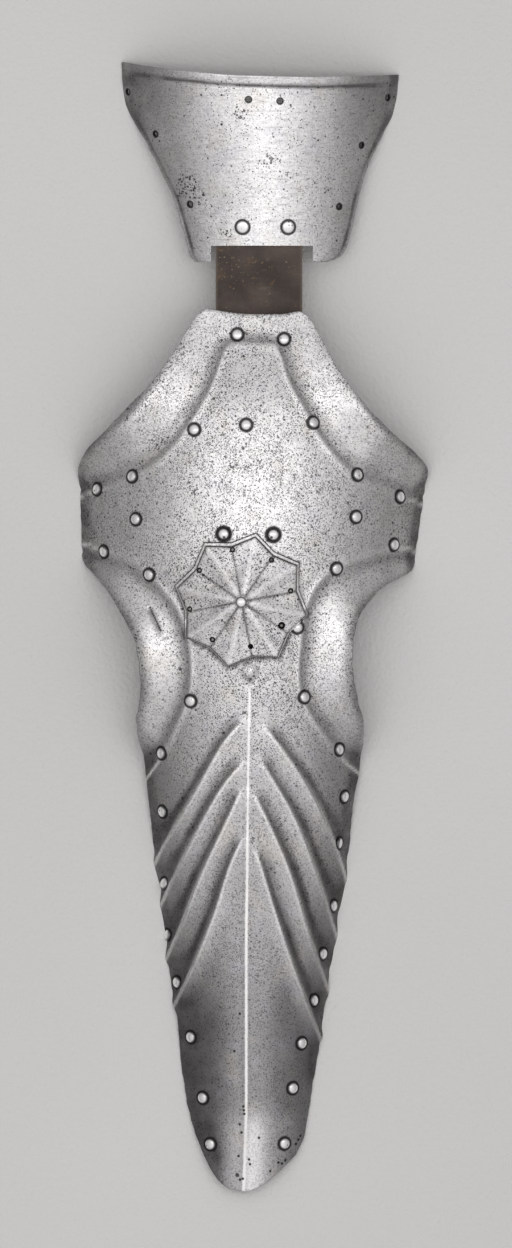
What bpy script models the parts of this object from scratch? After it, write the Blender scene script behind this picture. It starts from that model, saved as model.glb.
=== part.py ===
"""A shaffron, the steel defence of a horse's head, lying hollow side down.

Metres, +Z up. The nose points along -Y and the poll, behind the ears, along +Y.
Z = 0 is the surface it rests on, and the origin is under the middle of its box.
The tables are in millimetres: across is X, along is Y.
"""

import math
from collections import namedtuple
from functools import partial

import bmesh
import bpy
import numpy as np
from mathutils import Matrix, Vector
from mathutils.bvhtree import BVHTree

MM = 0.001

# Driving dimensions, in millimetres.
MAIN_SHEET = 1.6
POLL_SHEET = 1.4
ROSETTE_SHEET = 1.2
STRAP_SHEET = 3.0
GAP = 0.4

RIVET_HEAD = 3.9
RIVET_RISE = 2.3
RIVET_SHANK = 1.9
RIVET_SPREAD = 1.5 * RIVET_SHANK
POLL_RIVET_HEAD = 4.5
NAIL_HEAD = 1.7
NAIL_RISE = 0.7
NAIL_SHANK = 0.9
BOSS_HEAD = 3.8
ROUND_SIDES = 8

# A guard's roll, by distance outside its crease: the sheet rises until it is level, runs level and
# turns down. The ear guard is lowest between the ears, and the eye guards fade to the brow.
Roll = namedtuple("Roll", "slope level_from level_to turned_by")
EAR_ROLL = Roll(0.68, 9.0, 27.0, 38.0)
EAR_LEAST_SLOPE = 0.15
EAR_GROWS = (20.0, 95.0)
EYE_ROLL = Roll(0.86, 12.0, 31.0, 44.0)
EYE_FADE = 0.45
EYE_FADES = (-5.0, 45.0)
ROLL_TURN_DOWN = 1.6
ROLL_REACH = 60.0
STEEPEST_OFF = 0.78

# The flutes: a crest with a long fall inside it, a short one outside it and a narrow valley.
FLUTE_RISE = 2.4
FLUTE_INSIDE = 13.0
FLUTE_OUTSIDE = 3.5
FLUTE_VALLEY = 1.0
FLUTE_VALLEY_AT = 4.5
FLUTE_VALLEY_WIDTH = 2.2
FLUTE_FADE = 16.0
KEEL_RISE = 0.6
KEEL_SPREAD = 4.0
KEEL_FROM = -36.0
KEEL_FADE = 25.0

ROSETTE_AT = (-7.5, 16.5)
ROSETTE_POINTS = 8
ROSETTE_TURN = math.radians(12)
ROSETTE_TIP = 45.5
ROSETTE_NOTCH = 38.5
ROSETTE_FLANGE = 2.1
ROSETTE_RIM_HEIGHT = 4.4
ROSETTE_PEAK = 8.0
ROSETTE_VALLEY_DROP = 1.6
ROSETTE_FOOT_SHIFT = 1.0
ROSETTE_FOOT_LIFT = 2.4

STRAP_LEFT, STRAP_RIGHT = -25.0, 33.0
STRAP_LOW, STRAP_HIGH = 183.0, 278.0
STRAP_BRIDGE = (211.0, 252.0)
STRAP_CLEARANCE = 1.0

# Columns of a plate stand closer together towards its edges, as equal turns of this half angle.
COLUMN_HALF_ANGLE = math.radians(48)
CUTTER_DEPTH = 12.0

Edge = namedtuple("Edge", "along left right")
Form = namedtuple("Form", "along crown radius middle ridge")
Curve = namedtuple("Curve", "across along")
Point = namedtuple("Point", "x y")
Ring = namedtuple("Ring", "share rise drop")

# The rosette's nails stand in its valleys, clockwise from the first point. One is lost.
ROSETTE_NAILS = (
    Point(11.9, 44.3),
    Point(24.2, 23.9),
    Point(18.3, 0.9),
    Point(-26.1, -8.4),
    Point(-40.9, 11.9),
    Point(-34.7, 37.5),
    Point(-13.3, 51.2),
)
LOST_NAIL = Point(-1.6, -13.2)

# The rosette's rings from the middle out: share of its radius, of its rise and of its valleys' drop.
ROSETTE_RINGS = (
    Ring(0.1, 1.0, 0.1),
    Ring(0.55, 0.55, 1.0),
    Ring(1.0, 0.0, 0.25),
)
# The main plate's two side edges, a row for each section from the nose up.
MAIN_EDGE = (
    Edge(-353.0, -33.0, 28.5),
    Edge(-341.5, -37.5, 34.0),
    Edge(-325.5, -42.5, 37.0),
    Edge(-309.5, -45.5, 39.5),
    Edge(-288.5, -48.5, 43.0),
    Edge(-263.5, -50.5, 46.5),
    Edge(-240.0, -54.5, 50.0),
    Edge(-219.0, -57.5, 53.5),
    Edge(-198.5, -61.0, 57.0),
    Edge(-171.5, -63.5, 61.5),
    Edge(-146.5, -66.5, 64.5),
    Edge(-115.0, -70.0, 67.5),
    Edge(-97.0, -72.0, 71.0),
    Edge(-87.0, -73.0, 72.0),
    Edge(-73.0, -77.0, 74.0),
    Edge(-63.5, -78.0, 73.5),
    Edge(-53.0, -75.5, 70.5),
    Edge(-38.5, -74.5, 67.5),
    Edge(-26.5, -75.5, 66.0),
    Edge(-9.5, -78.5, 66.5),
    Edge(5.0, -85.5, 70.0),
    Edge(17.5, -93.0, 78.0),
    Edge(26.5, -99.5, 87.5),
    Edge(31.5, -104.0, 96.0),
    Edge(37.0, -108.0, 106.0),
    Edge(41.5, -112.5, 108.0),
    Edge(47.5, -114.5, 108.5),
    Edge(75.0, -115.0, 112.5),
    Edge(92.5, -116.0, 115.0),
    Edge(104.5, -117.0, 117.0),
    Edge(109.5, -115.5, 114.0),
    Edge(116.5, -112.0, 107.5),
    Edge(129.5, -99.5, 92.5),
    Edge(147.0, -83.0, 75.5),
    Edge(163.0, -67.0, 62.5),
    Edge(174.5, -58.5, 54.5),
    Edge(184.5, -51.5, 49.5),
    Edge(194.5, -45.5, 44.0),
    Edge(203.5, -40.0, 39.5),
)
# The rounded nose, which ends the plate below its lowest section.
MAIN_NOSE = (
    Curve(-33.0, -353.0),
    Curve(-28.0, -363.0),
    Curve(-22.0, -371.0),
    Curve(-15.0, -375.5),
    Curve(-4.0, -377.0),
    Curve(3.0, -374.5),
    Curve(9.5, -370.5),
    Curve(18.5, -363.0),
    Curve(28.5, -353.0),
)
NOSE_BEND_FROM = -341.5
# The slightly hollow upper edge between two rounded corners.
MAIN_TOP = (
    Curve(-40.0, 203.5),
    Curve(-36.0, 208.5),
    Curve(-30.0, 211.5),
    Curve(-18.0, 209.5),
    Curve(0.0, 208.0),
    Curve(18.0, 208.0),
    Curve(30.5, 209.8),
    Curve(35.0, 208.0),
    Curve(39.5, 203.5),
)
TOP_BEND_FROM = 194.5
# How high the vault stands, how it is curved across, its middle and the keel's place on it.
MAIN_FORM = (
    Form(-377.0, 10.5, 62.0, -3.0, -4.5),
    Form(-345.0, 14.5, 60.0, -2.5, -4.5),
    Form(-310.0, 19.0, 60.0, -3.0, -4.5),
    Form(-270.0, 24.0, 62.0, -2.5, -4.5),
    Form(-220.0, 30.5, 65.0, -2.0, -4.5),
    Form(-170.0, 35.5, 72.0, -1.0, -4.0),
    Form(-120.0, 41.0, 82.0, -1.2, -3.5),
    Form(-60.0, 47.0, 98.0, -2.0, -2.5),
    Form(0.0, 52.0, 122.0, -2.0, -1.0),
    Form(50.0, 53.5, 144.0, -2.5, 0.0),
    Form(90.0, 54.4, 148.0, -0.7, 0.0),
    Form(140.0, 53.0, 148.0, -1.0, 0.0),
    Form(180.0, 46.0, 138.0, 0.0, 0.0),
    Form(212.0, 38.0, 120.0, 0.0, 0.0),
)

# Creases: outside each of them the sheet swells into a guard.
EAR_CREASE = (
    Point(-126, 86), Point(-104, 91.5), Point(-92.5, 96), Point(-71, 106.5),
    Point(-55.5, 119.5), Point(-42.5, 137), Point(-31.5, 155.5), Point(-24.5, 172),
    Point(-20, 184.5), Point(-14, 189), Point(0, 189.3), Point(13, 189),
    Point(18.5, 184), Point(25, 164.5), Point(34.5, 147), Point(46.5, 126),
    Point(61, 109), Point(71, 101), Point(85.5, 95), Point(98, 88), Point(126, 80),
)
LEFT_EYE_CREASE = (
    Point(-126, 57.5), Point(-99.5, 49.5), Point(-86.5, 45), Point(-76, 38),
    Point(-63.5, 26), Point(-51.5, 10.5), Point(-44.5, -9.5), Point(-42.5, -29),
    Point(-44.5, -46), Point(-53, -67.5), Point(-61, -84.5), Point(-71, -99),
    Point(-78, -108),
)
RIGHT_EYE_CREASE = (
    Point(120, 44), Point(106, 49.5), Point(93, 51), Point(79.5, 47.5), Point(62.5, 40),
    Point(49.5, 33), Point(41.5, 22.5), Point(36, 9), Point(34, -6),
    Point(32, -27), Point(33, -43), Point(39, -57.5), Point(49.5, -73),
    Point(60, -87), Point(71, -96.5), Point(80, -104),
)
# Chevron flutes: the left ones start at the keel, and the right ones end at it.
FLUTES = (
    (Point(-4, -59.5), Point(-20.5, -78.5), Point(-39, -110.5), Point(-60, -146), Point(-76, -177)),
    (Point(-4, -87), Point(-22.5, -109.5), Point(-41, -142.5), Point(-60, -181), Point(-72, -207)),
    (Point(-6, -105), Point(-20.5, -135), Point(-35.5, -166.5), Point(-49, -200.5), Point(-66, -237)),
    (Point(-5, -136.5), Point(-16, -160), Point(-26.5, -192), Point(-42.5, -230.5), Point(-62, -270)),
    (Point(70, -192), Point(58.5, -154.5), Point(44.5, -121.5), Point(26.5, -91), Point(5, -63)),
    (Point(65, -232), Point(42.5, -164), Point(28.5, -128.5), Point(12, -100), Point(1.5, -84)),
    (Point(60, -266), Point(40.5, -213.5), Point(26, -166.5), Point(12.5, -135), Point(-1.5, -107)),
    (Point(58, -306), Point(32.5, -240.5), Point(16, -193), Point(5.5, -160), Point(0, -144)),
)

POLL_EDGE = (
    Edge(243.0, -39.0, 50.0),
    Edge(247.0, -42.0, 59.0),
    Edge(254.0, -44.0, 63.0),
    Edge(268.0, -48.0, 67.0),
    Edge(285.0, -53.0, 70.5),
    Edge(303.0, -61.5, 75.5),
    Edge(317.0, -68.5, 81.5),
    Edge(330.0, -75.5, 87.5),
    Edge(343.5, -83.0, 94.0),
    Edge(354.0, -87.0, 96.5),
    Edge(363.0, -88.0, 97.5),
)
POLL_TOP = (
    Curve(-88.0, 377.0),
    Curve(-75.5, 374.5),
    Curve(-42.0, 369.5),
    Curve(-8.0, 366.5),
    Curve(37.5, 365.5),
    Curve(83.5, 367.5),
    Curve(97.5, 368.5),
)
POLL_FORM = (
    Form(243.0, 29.0, 92.0, 6.0, 6.0),
    Form(270.0, 32.5, 93.0, 6.0, 6.0),
    Form(300.0, 37.0, 97.0, 5.5, 5.5),
    Form(328.0, 41.0, 107.0, 5.0, 5.0),
    Form(350.0, 44.0, 114.5, 5.0, 5.0),
    Form(366.0, 46.5, 117.0, 4.8, 4.8),
)
POLL_BEND_FROM = 348.0
POLL_RIM_WIDTH = 6.0
POLL_RIM_TURN = 0.8
POLL_NOTCH = (-28.0, 40.0, 253.7)
POLL_LACE_HOLE = 1.7
POLL_LACE_HOLES = (
    Point(-3, 350.5), Point(18, 349.5), Point(-83.5, 357), Point(-65, 328.5),
    Point(-42, 281.5), Point(90, 353), Point(72.5, 321), Point(57.5, 280),
)
NOSE_HOLE_AT = Point(-10.5, -366)
NOSE_HOLE = 1.4

POLL_RIVETS = (Point(-7, 266), Point(23.5, 266))
STRAP_RIVETS = (Point(-10.5, 194.5), Point(21, 191.5))
BROW_RIVETS = (
    Point(-4.5, 134), Point(-39, 131), Point(40, 135.5), Point(-19.5, 61.5), Point(13.5, 61),
    Point(-78, 71.5), Point(68.5, 73),
)
LEFT_RIVETS = (
    Point(-80.5, 100), Point(-104, 91.5), Point(-99.5, 50), Point(-69, 34.5), Point(-41.5, -49.5),
    Point(-61, -84.5), Point(-60.5, -123.5), Point(-59, -171.5), Point(-57, -206),
    Point(-50.5, -237.5), Point(-41.5, -274), Point(-33.5, -314.5), Point(-28.5, -345.5),
)
# The rosette's edge reaches over this one.
COVERED_RIVET = Point(29.5, -0.5)
RIGHT_RIVETS = (
    Point(69.5, 101), Point(98, 86.5), Point(94, 54.5), Point(55.5, 38.5), COVERED_RIVET,
    Point(34, -47), Point(57.5, -82), Point(61, -113.5), Point(57.5, -144.5), Point(53.5, -186.5),
    Point(46.5, -218.5), Point(40.5, -249.5), Point(32.5, -278), Point(26.5, -308), Point(21, -345),
)


def clear_scene():
    for obj in list(bpy.data.objects):
        bpy.data.objects.remove(obj, do_unlink=True)


def material(name, colour, roughness, metallic):
    made = bpy.data.materials.new(name)
    made.use_nodes = True
    shader = made.node_tree.nodes["Principled BSDF"]
    shader.inputs["Base Color"].default_value = (*colour, 1)
    shader.inputs["Roughness"].default_value = roughness
    shader.inputs["Metallic"].default_value = metallic
    return made


def read(table, key, column, at):
    """A column of a table at any place, on a smooth curve that doesn't overshoot its rows."""
    place = np.array([getattr(row, key) for row in table], float)
    value = np.array([getattr(row, column) for row in table], float)
    step = np.diff(place)
    slope = np.diff(value) / step
    tangent = np.zeros_like(value)
    tangent[0], tangent[-1] = slope[0], slope[-1]
    product = slope[1:] * slope[:-1]
    total = slope[1:] + slope[:-1]
    tangent[1:-1] = np.where(product > 0, 2 * product / np.where(product > 0, total, 1), 0)
    at = np.clip(at, place[0], place[-1])
    k = np.clip(np.searchsorted(place, at, side="right") - 1, 0, len(step) - 1)
    u = (at - place[k]) / step[k]
    start = (1 + 2 * u) * (1 - u) ** 2 * value[k] + u * (1 - u) ** 2 * step[k] * tangent[k]
    end = u**2 * (3 - 2 * u) * value[k + 1] + u**2 * (u - 1) * step[k] * tangent[k + 1]
    return start + end


def ease(low, high, at):
    """0 below low, 1 above high and a smooth step between."""
    u = np.clip((at - low) / (high - low), 0, 1)
    return u * u * (3 - 2 * u)


def smooth_route(points, steps=5):
    """Points on a Catmull-Rom curve through a route's own points."""
    p = np.array(points, float)
    p = np.vstack([2 * p[0] - p[1], p, 2 * p[-1] - p[-2]])
    found = []
    for a, b, c, d in zip(p, p[1:], p[2:], p[3:]):
        for u in np.arange(steps) / steps:
            curve = 2 * b + (c - a) * u + (2 * a - 5 * b + 4 * c - d) * u**2
            found.append((curve + (3 * b - a - 3 * c + d) * u**3) / 2)
    return np.array(found + [p[-2]])


def beside(points, x, y):
    """Each point's distance from a route, positive on its left, and its place along the route."""
    route = smooth_route(points)
    start, reach = route[:-1], np.diff(route, axis=0)
    length = np.hypot(*reach.T)
    gone = np.concatenate([[0], np.cumsum(length)])[:-1]
    shape = np.shape(x)
    best = np.full(np.size(x), 1e9)
    signed, along = np.zeros_like(best), np.zeros_like(best)
    flat_x, flat_y = np.ravel(x), np.ravel(y)
    for (ax, ay), (dx, dy), size, before in zip(start, reach, length, gone):
        px, py = flat_x - ax, flat_y - ay
        u = np.clip((px * dx + py * dy) / size**2, 0, 1)
        apart = np.hypot(px - u * dx, py - u * dy)
        nearer = apart < best
        side = np.where(dx * py - dy * px >= 0, 1, -1)
        best = np.where(nearer, apart, best)
        signed = np.where(nearer, side * apart, signed)
        along = np.where(nearer, before + u * size, along)
    return signed.reshape(shape), along.reshape(shape), gone[-1] + length[-1]


def guard(out, roll, slope):
    """A roll of sheet: it rises from a crease, runs level and turns down towards the edge."""
    steps = np.arange(0, ROLL_REACH, 0.5)
    turn = ROLL_TURN_DOWN * ease(roll.level_to, roll.turned_by, steps)
    rate = ease(0, roll.level_from, steps) * (1 - turn)
    rise = np.concatenate([[0], np.cumsum((rate[1:] + rate[:-1]) / 2 * np.diff(steps))])
    return slope * np.interp(out, steps, rise)


def flute(out):
    """One step of the fluting: a crest, a narrow valley outside it and a long fall inside it."""
    inside = np.clip(1 + out / FLUTE_INSIDE, 0, 1) ** 2
    crest = FLUTE_RISE * np.where(out < 0, inside, 1 - ease(0, FLUTE_OUTSIDE, out))
    return crest - FLUTE_VALLEY * np.exp(-(((out - FLUTE_VALLEY_AT) / FLUTE_VALLEY_WIDTH) ** 2))


def vault(form, x, y):
    """The plain vault that a plate is first raised to."""
    radius = read(form, "along", "radius", y)
    off = np.clip(x - read(form, "along", "middle", y), -0.97 * radius, 0.97 * radius)
    return read(form, "along", "crown", y) - radius + np.sqrt(radius**2 - off**2)


def vault_fall(form, x, y):
    """How steeply the plain vault falls towards its side."""
    radius = read(form, "along", "radius", y)
    off = np.clip(abs(x - read(form, "along", "middle", y)), 0, STEEPEST_OFF * radius)
    return off / np.sqrt(radius**2 - off**2)


def main_face(x, y):
    """Height of the main plate's outer face."""
    height = vault(MAIN_FORM, x, y)
    out, _, _ = beside(EAR_CREASE, x, y)
    ear_slope = EAR_LEAST_SLOPE + (EAR_ROLL.slope - EAR_LEAST_SLOPE) * ease(*EAR_GROWS, abs(x))
    height = height + guard(out, EAR_ROLL, ear_slope)
    eye_slope = EYE_ROLL.slope * vault_fall(MAIN_FORM, x, y) * (1 - EYE_FADE * ease(*EYE_FADES, y))
    out, _, _ = beside(LEFT_EYE_CREASE, x, y)
    height = height + guard(-out, EYE_ROLL, eye_slope)
    out, _, _ = beside(RIGHT_EYE_CREASE, x, y)
    height = height + guard(out, EYE_ROLL, eye_slope)
    for points in FLUTES:
        out, along, whole = beside(points, x, y)
        from_keel = along if points[0].x < 0 else whole - along
        height = height + flute(-out) * ease(0, FLUTE_FADE, from_keel)
    off_ridge = abs(x - read(MAIN_FORM, "along", "ridge", y))
    return height + KEEL_RISE * ease(0, KEEL_FADE, KEEL_FROM - y) * np.exp(-off_ridge / KEEL_SPREAD)


def poll_face(x, y):
    """Height of the poll plate's outer face, with its rim turned slightly outwards."""
    rim = 1 - (read(POLL_TOP, "across", "along", x) - y) / POLL_RIM_WIDTH
    return vault(POLL_FORM, x, y) + POLL_RIM_TURN * np.clip(rim, 0, 1) ** 1.5


def strap_face(x, y):
    """Height of the strap's upper side, which lies close under both plates."""
    under_main = vault(MAIN_FORM, x, y) - MAIN_SHEET - STRAP_CLEARANCE
    under_poll = vault(POLL_FORM, x, y) - POLL_SHEET - STRAP_CLEARANCE
    return under_main + (under_poll - under_main) * ease(*STRAP_BRIDGE, y)


def rows_between(table, longest):
    """The table's own places, with more between them where the step is over the longest."""
    places = [table[0].along]
    for low, high in zip(table, table[1:]):
        parts = math.ceil((high.along - low.along) / longest)
        places += [low.along + (high.along - low.along) * k / parts for k in range(1, parts + 1)]
    return places


def plan_grid(edge, form, longest, columns, ends):
    """X and Y of each vertex, by rows: an end is (from, curve) and bends the rows to a curved edge."""
    turns = np.linspace(-1, 1, columns + 1)
    spread = np.sin(turns * COLUMN_HALF_ANGLE) / math.sin(COLUMN_HALF_ANGLE)
    all_x, all_y = [], []
    for place in rows_between(edge, longest):
        ridge = float(read(form, "along", "ridge", place))
        left = float(read(edge, "along", "left", place))
        right = float(read(edge, "along", "right", place))
        x = ridge + np.where(spread < 0, ridge - left, right - ridge) * spread
        y = np.full_like(x, place)
        for begin, curve in ends:
            edge_place = edge[0].along if begin < 0 else edge[-1].along
            bent = (place - begin) / (edge_place - begin)
            if bent > 0:
                y = y + bent * (read(curve, "across", "along", x) - edge_place)
        all_x.append(x)
        all_y.append(y)
    return np.array(all_x), np.array(all_y)


def new_object(name, bm, finish):
    bm.normal_update()
    mesh = bpy.data.meshes.new(name)
    bm.to_mesh(mesh)
    bm.free()
    obj = bpy.data.objects.new(name, mesh)
    bpy.context.scene.collection.objects.link(obj)
    if finish is not None:
        mesh.materials.append(finish)
        mesh.shade_smooth()
        mesh.set_sharp_from_angle(angle=math.radians(40))
    return obj


def sheet(name, x, y, face, thickness, finish):
    """A curved sheet over a plan grid, its outer face at face(x, y)."""
    rows, columns = x.shape
    bm = bmesh.new()
    bmesh.ops.create_grid(bm, x_segments=columns - 1, y_segments=rows - 1, size=1)
    height = face(x, y)
    for vertex in bm.verts:
        column = round((vertex.co.x + 1) / 2 * (columns - 1))
        row = round((vertex.co.y + 1) / 2 * (rows - 1))
        vertex.co = Vector((x[row, column], y[row, column], height[row, column])) * MM
    obj = new_object(name, bm, finish)
    solid = obj.modifiers.new("thickness", "SOLIDIFY")
    solid.thickness = thickness * MM
    solid.offset = -1
    solid.use_even_offset = True
    return obj


def cut(obj, cutter):
    boolean = obj.modifiers.new(cutter.name, "BOOLEAN")
    boolean.operation = "DIFFERENCE"
    boolean.solver = "EXACT"
    boolean.object = cutter


def helper(obj):
    obj.hide_render = True
    obj.display_type = "WIRE"
    return obj


def box_cutter(name, low, high):
    bm = bmesh.new()
    bmesh.ops.create_cube(bm, size=1)
    size = [high[k] - low[k] for k in range(3)]
    for vertex in bm.verts:
        vertex.co = Vector([(low[k] + high[k]) / 2 + vertex.co[k] * size[k] for k in range(3)]) * MM
    return helper(new_object(name, bm, None))


def height_at(face, x, y):
    return float(face(np.array([x], float), np.array([y], float))[0])


def outward(face, x, y, step=2.0):
    """The outer face's point over x, y and its direction outwards."""
    tilt_x = (height_at(face, x + step, y) - height_at(face, x - step, y)) / (2 * step)
    tilt_y = (height_at(face, x, y + step) - height_at(face, x, y - step)) / (2 * step)
    return Vector((x, y, height_at(face, x, y))), Vector((-tilt_x, -tilt_y, 1)).normalized()


def placing(point, direction):
    turn = direction.to_track_quat("Z", "Y").to_matrix().to_4x4()
    return Matrix.Translation(point * MM) @ turn


def hole_cutter(name, places, top=CUTTER_DEPTH):
    """One cutter for many holes, each (point, direction, radius), from below the sheet to its top."""
    bm = bmesh.new()
    for point, direction, radius in places:
        middle = point + direction * (top - CUTTER_DEPTH) / 2
        bmesh.ops.create_cone(
            bm,
            cap_ends=True,
            segments=ROUND_SIDES,
            radius1=radius * MM,
            radius2=radius * MM,
            depth=(top + CUTTER_DEPTH) * MM,
            matrix=placing(middle, direction),
        )
    return helper(new_object(name, bm, None))


def surface_of(obj):
    bpy.context.view_layer.update()
    return BVHTree.FromObject(obj, bpy.context.evaluated_depsgraph_get())


def reach(surface, point, direction, radius, side):
    """How far the surface stands out along the direction within a radius, seen from one side."""
    across = direction.orthogonal().normalized()
    ring = [across * 0]
    for k in range(2 * ROUND_SIDES):
        turned = Matrix.Rotation(math.pi * k / ROUND_SIDES, 3, direction) @ across
        ring += [turned * radius * share for share in (1.1, 0.8, 0.5)]
    found = []
    for offset in ring:
        start = (point + offset + direction * 25 * side) * MM
        hit, _, _, _ = surface.ray_cast(start, -direction * side, 50 * MM)
        if hit is not None:
            found.append((hit / MM - point).dot(direction))
    return max(found) if side > 0 else min(found)


def turned_piece(name, profile, finish):
    """A round piece from its profile of (radius, height) points, both ends on the axis."""
    bm = bmesh.new()
    chain = [bm.verts.new((radius * MM, 0, height * MM)) for radius, height in profile]
    edges = [bm.edges.new(pair) for pair in zip(chain, chain[1:])]
    bmesh.ops.spin(
        bm, geom=chain + edges, axis=(0, 0, 1), cent=(0, 0, 0),
        angle=2 * math.pi, steps=ROUND_SIDES, use_merge=True,
    )
    bmesh.ops.remove_doubles(bm, verts=bm.verts, dist=1e-7)
    bmesh.ops.recalc_face_normals(bm, faces=bm.faces)
    return new_object(name, bm, finish)


def rivet(name, seat, surfaces, sizes, finish):
    """A domed head over the upper sheet, a shank through its holes and a spread end below.

    seat is (point, direction), surfaces is (upper, lower) and sizes is (head, rise, shank).
    """
    point, direction = seat
    top, bottom = surfaces
    head, rise, shank = sizes
    spread = shank * RIVET_SPREAD / RIVET_SHANK
    lift = reach(top, point, direction, head, 1) + GAP
    low = reach(bottom, point, direction, spread, -1) - GAP
    profile = (
        (0, lift + rise),
        (head * 0.62, lift + rise * 0.76),
        (head, lift),
        (shank, lift),
        (shank, low),
        (spread, low),
        (spread * 0.8, low - shank * 0.5),
        (0, low - shank * 0.5),
    )
    obj = turned_piece(name, profile, finish)
    obj.matrix_world = placing(point, direction)
    return obj


def star(tip, notch):
    """Radius and angle of each corner of the star, points and notches in turn."""
    for k in range(2 * ROSETTE_POINTS):
        yield (notch if k % 2 else tip), ROSETTE_TURN + math.pi * k / ROSETTE_POINTS


def rosette(finish):
    """A star raised to a low pyramid with a ridge to each point, and its rim turned down."""
    cx, cy = ROSETTE_AT
    bm = bmesh.new()

    def vertex(x, y, z):
        return bm.verts.new(Vector((x, y, z)) * MM)

    peak = vertex(cx, cy, height_at(partial(vault, MAIN_FORM), cx, cy) + ROSETTE_PEAK)
    inner = list(star(ROSETTE_TIP - ROSETTE_FLANGE, ROSETTE_NOTCH - ROSETTE_FLANGE))
    loops = []
    for ring in ROSETTE_RINGS:
        loop = []
        for k, (radius, angle) in enumerate(inner):
            x = cx + radius * ring.share * math.sin(angle)
            y = cy + radius * ring.share * math.cos(angle)
            above = ROSETTE_RIM_HEIGHT + (ROSETTE_PEAK - ROSETTE_RIM_HEIGHT) * ring.rise
            if k % 2:
                above -= ROSETTE_VALLEY_DROP * ring.drop
            loop.append(vertex(x, y, height_at(partial(vault, MAIN_FORM), x, y) + above))
        loops.append(loop)
    foot = []
    for radius, angle in star(ROSETTE_TIP, ROSETTE_NOTCH):
        x = cx + radius * math.sin(angle)
        y = cy + radius * math.cos(angle) + ROSETTE_FOOT_SHIFT
        foot.append(vertex(x, y, height_at(main_face, x, y) + ROSETTE_FOOT_LIFT))
    loops.append(foot)
    corners = len(foot)
    for k in range(corners):
        after = (k + 1) % corners
        bm.faces.new((peak, loops[0][after], loops[0][k]))
        for near, far in zip(loops, loops[1:]):
            bm.faces.new((near[k], near[after], far[after], far[k]))
    bmesh.ops.triangulate(bm, faces=[face for face in bm.faces if len(face.verts) == 4])
    bmesh.ops.recalc_face_normals(bm, faces=bm.faces)
    obj = new_object("rosette", bm, finish)
    solid = obj.modifiers.new("thickness", "SOLIDIFY")
    solid.thickness = ROSETTE_SHEET * MM
    solid.offset = -1
    return obj


def plates(main_steel, poll_steel):
    """The two steel plates, trimmed level at the floor, the poll plate stepped beside the strap."""
    ends = ((NOSE_BEND_FROM, MAIN_NOSE), (TOP_BEND_FROM, MAIN_TOP))
    x, y = plan_grid(MAIN_EDGE, MAIN_FORM, 12, 20, ends)
    main_plate = sheet("main_plate", x, y, main_face, MAIN_SHEET, main_steel)
    x, y = plan_grid(POLL_EDGE, POLL_FORM, 18, 14, ((POLL_BEND_FROM, POLL_TOP),))
    poll_plate = sheet("poll_plate", x, y, poll_face, POLL_SHEET, poll_steel)
    below = box_cutter("below_floor", (-200, -450, -60), (200, 450, 0))
    cut(main_plate, below)
    cut(poll_plate, below)
    left, right, high = POLL_NOTCH
    cut(poll_plate, box_cutter("notch", (left, 200, -5), (right, high, 90)))
    return main_plate, poll_plate


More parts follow.
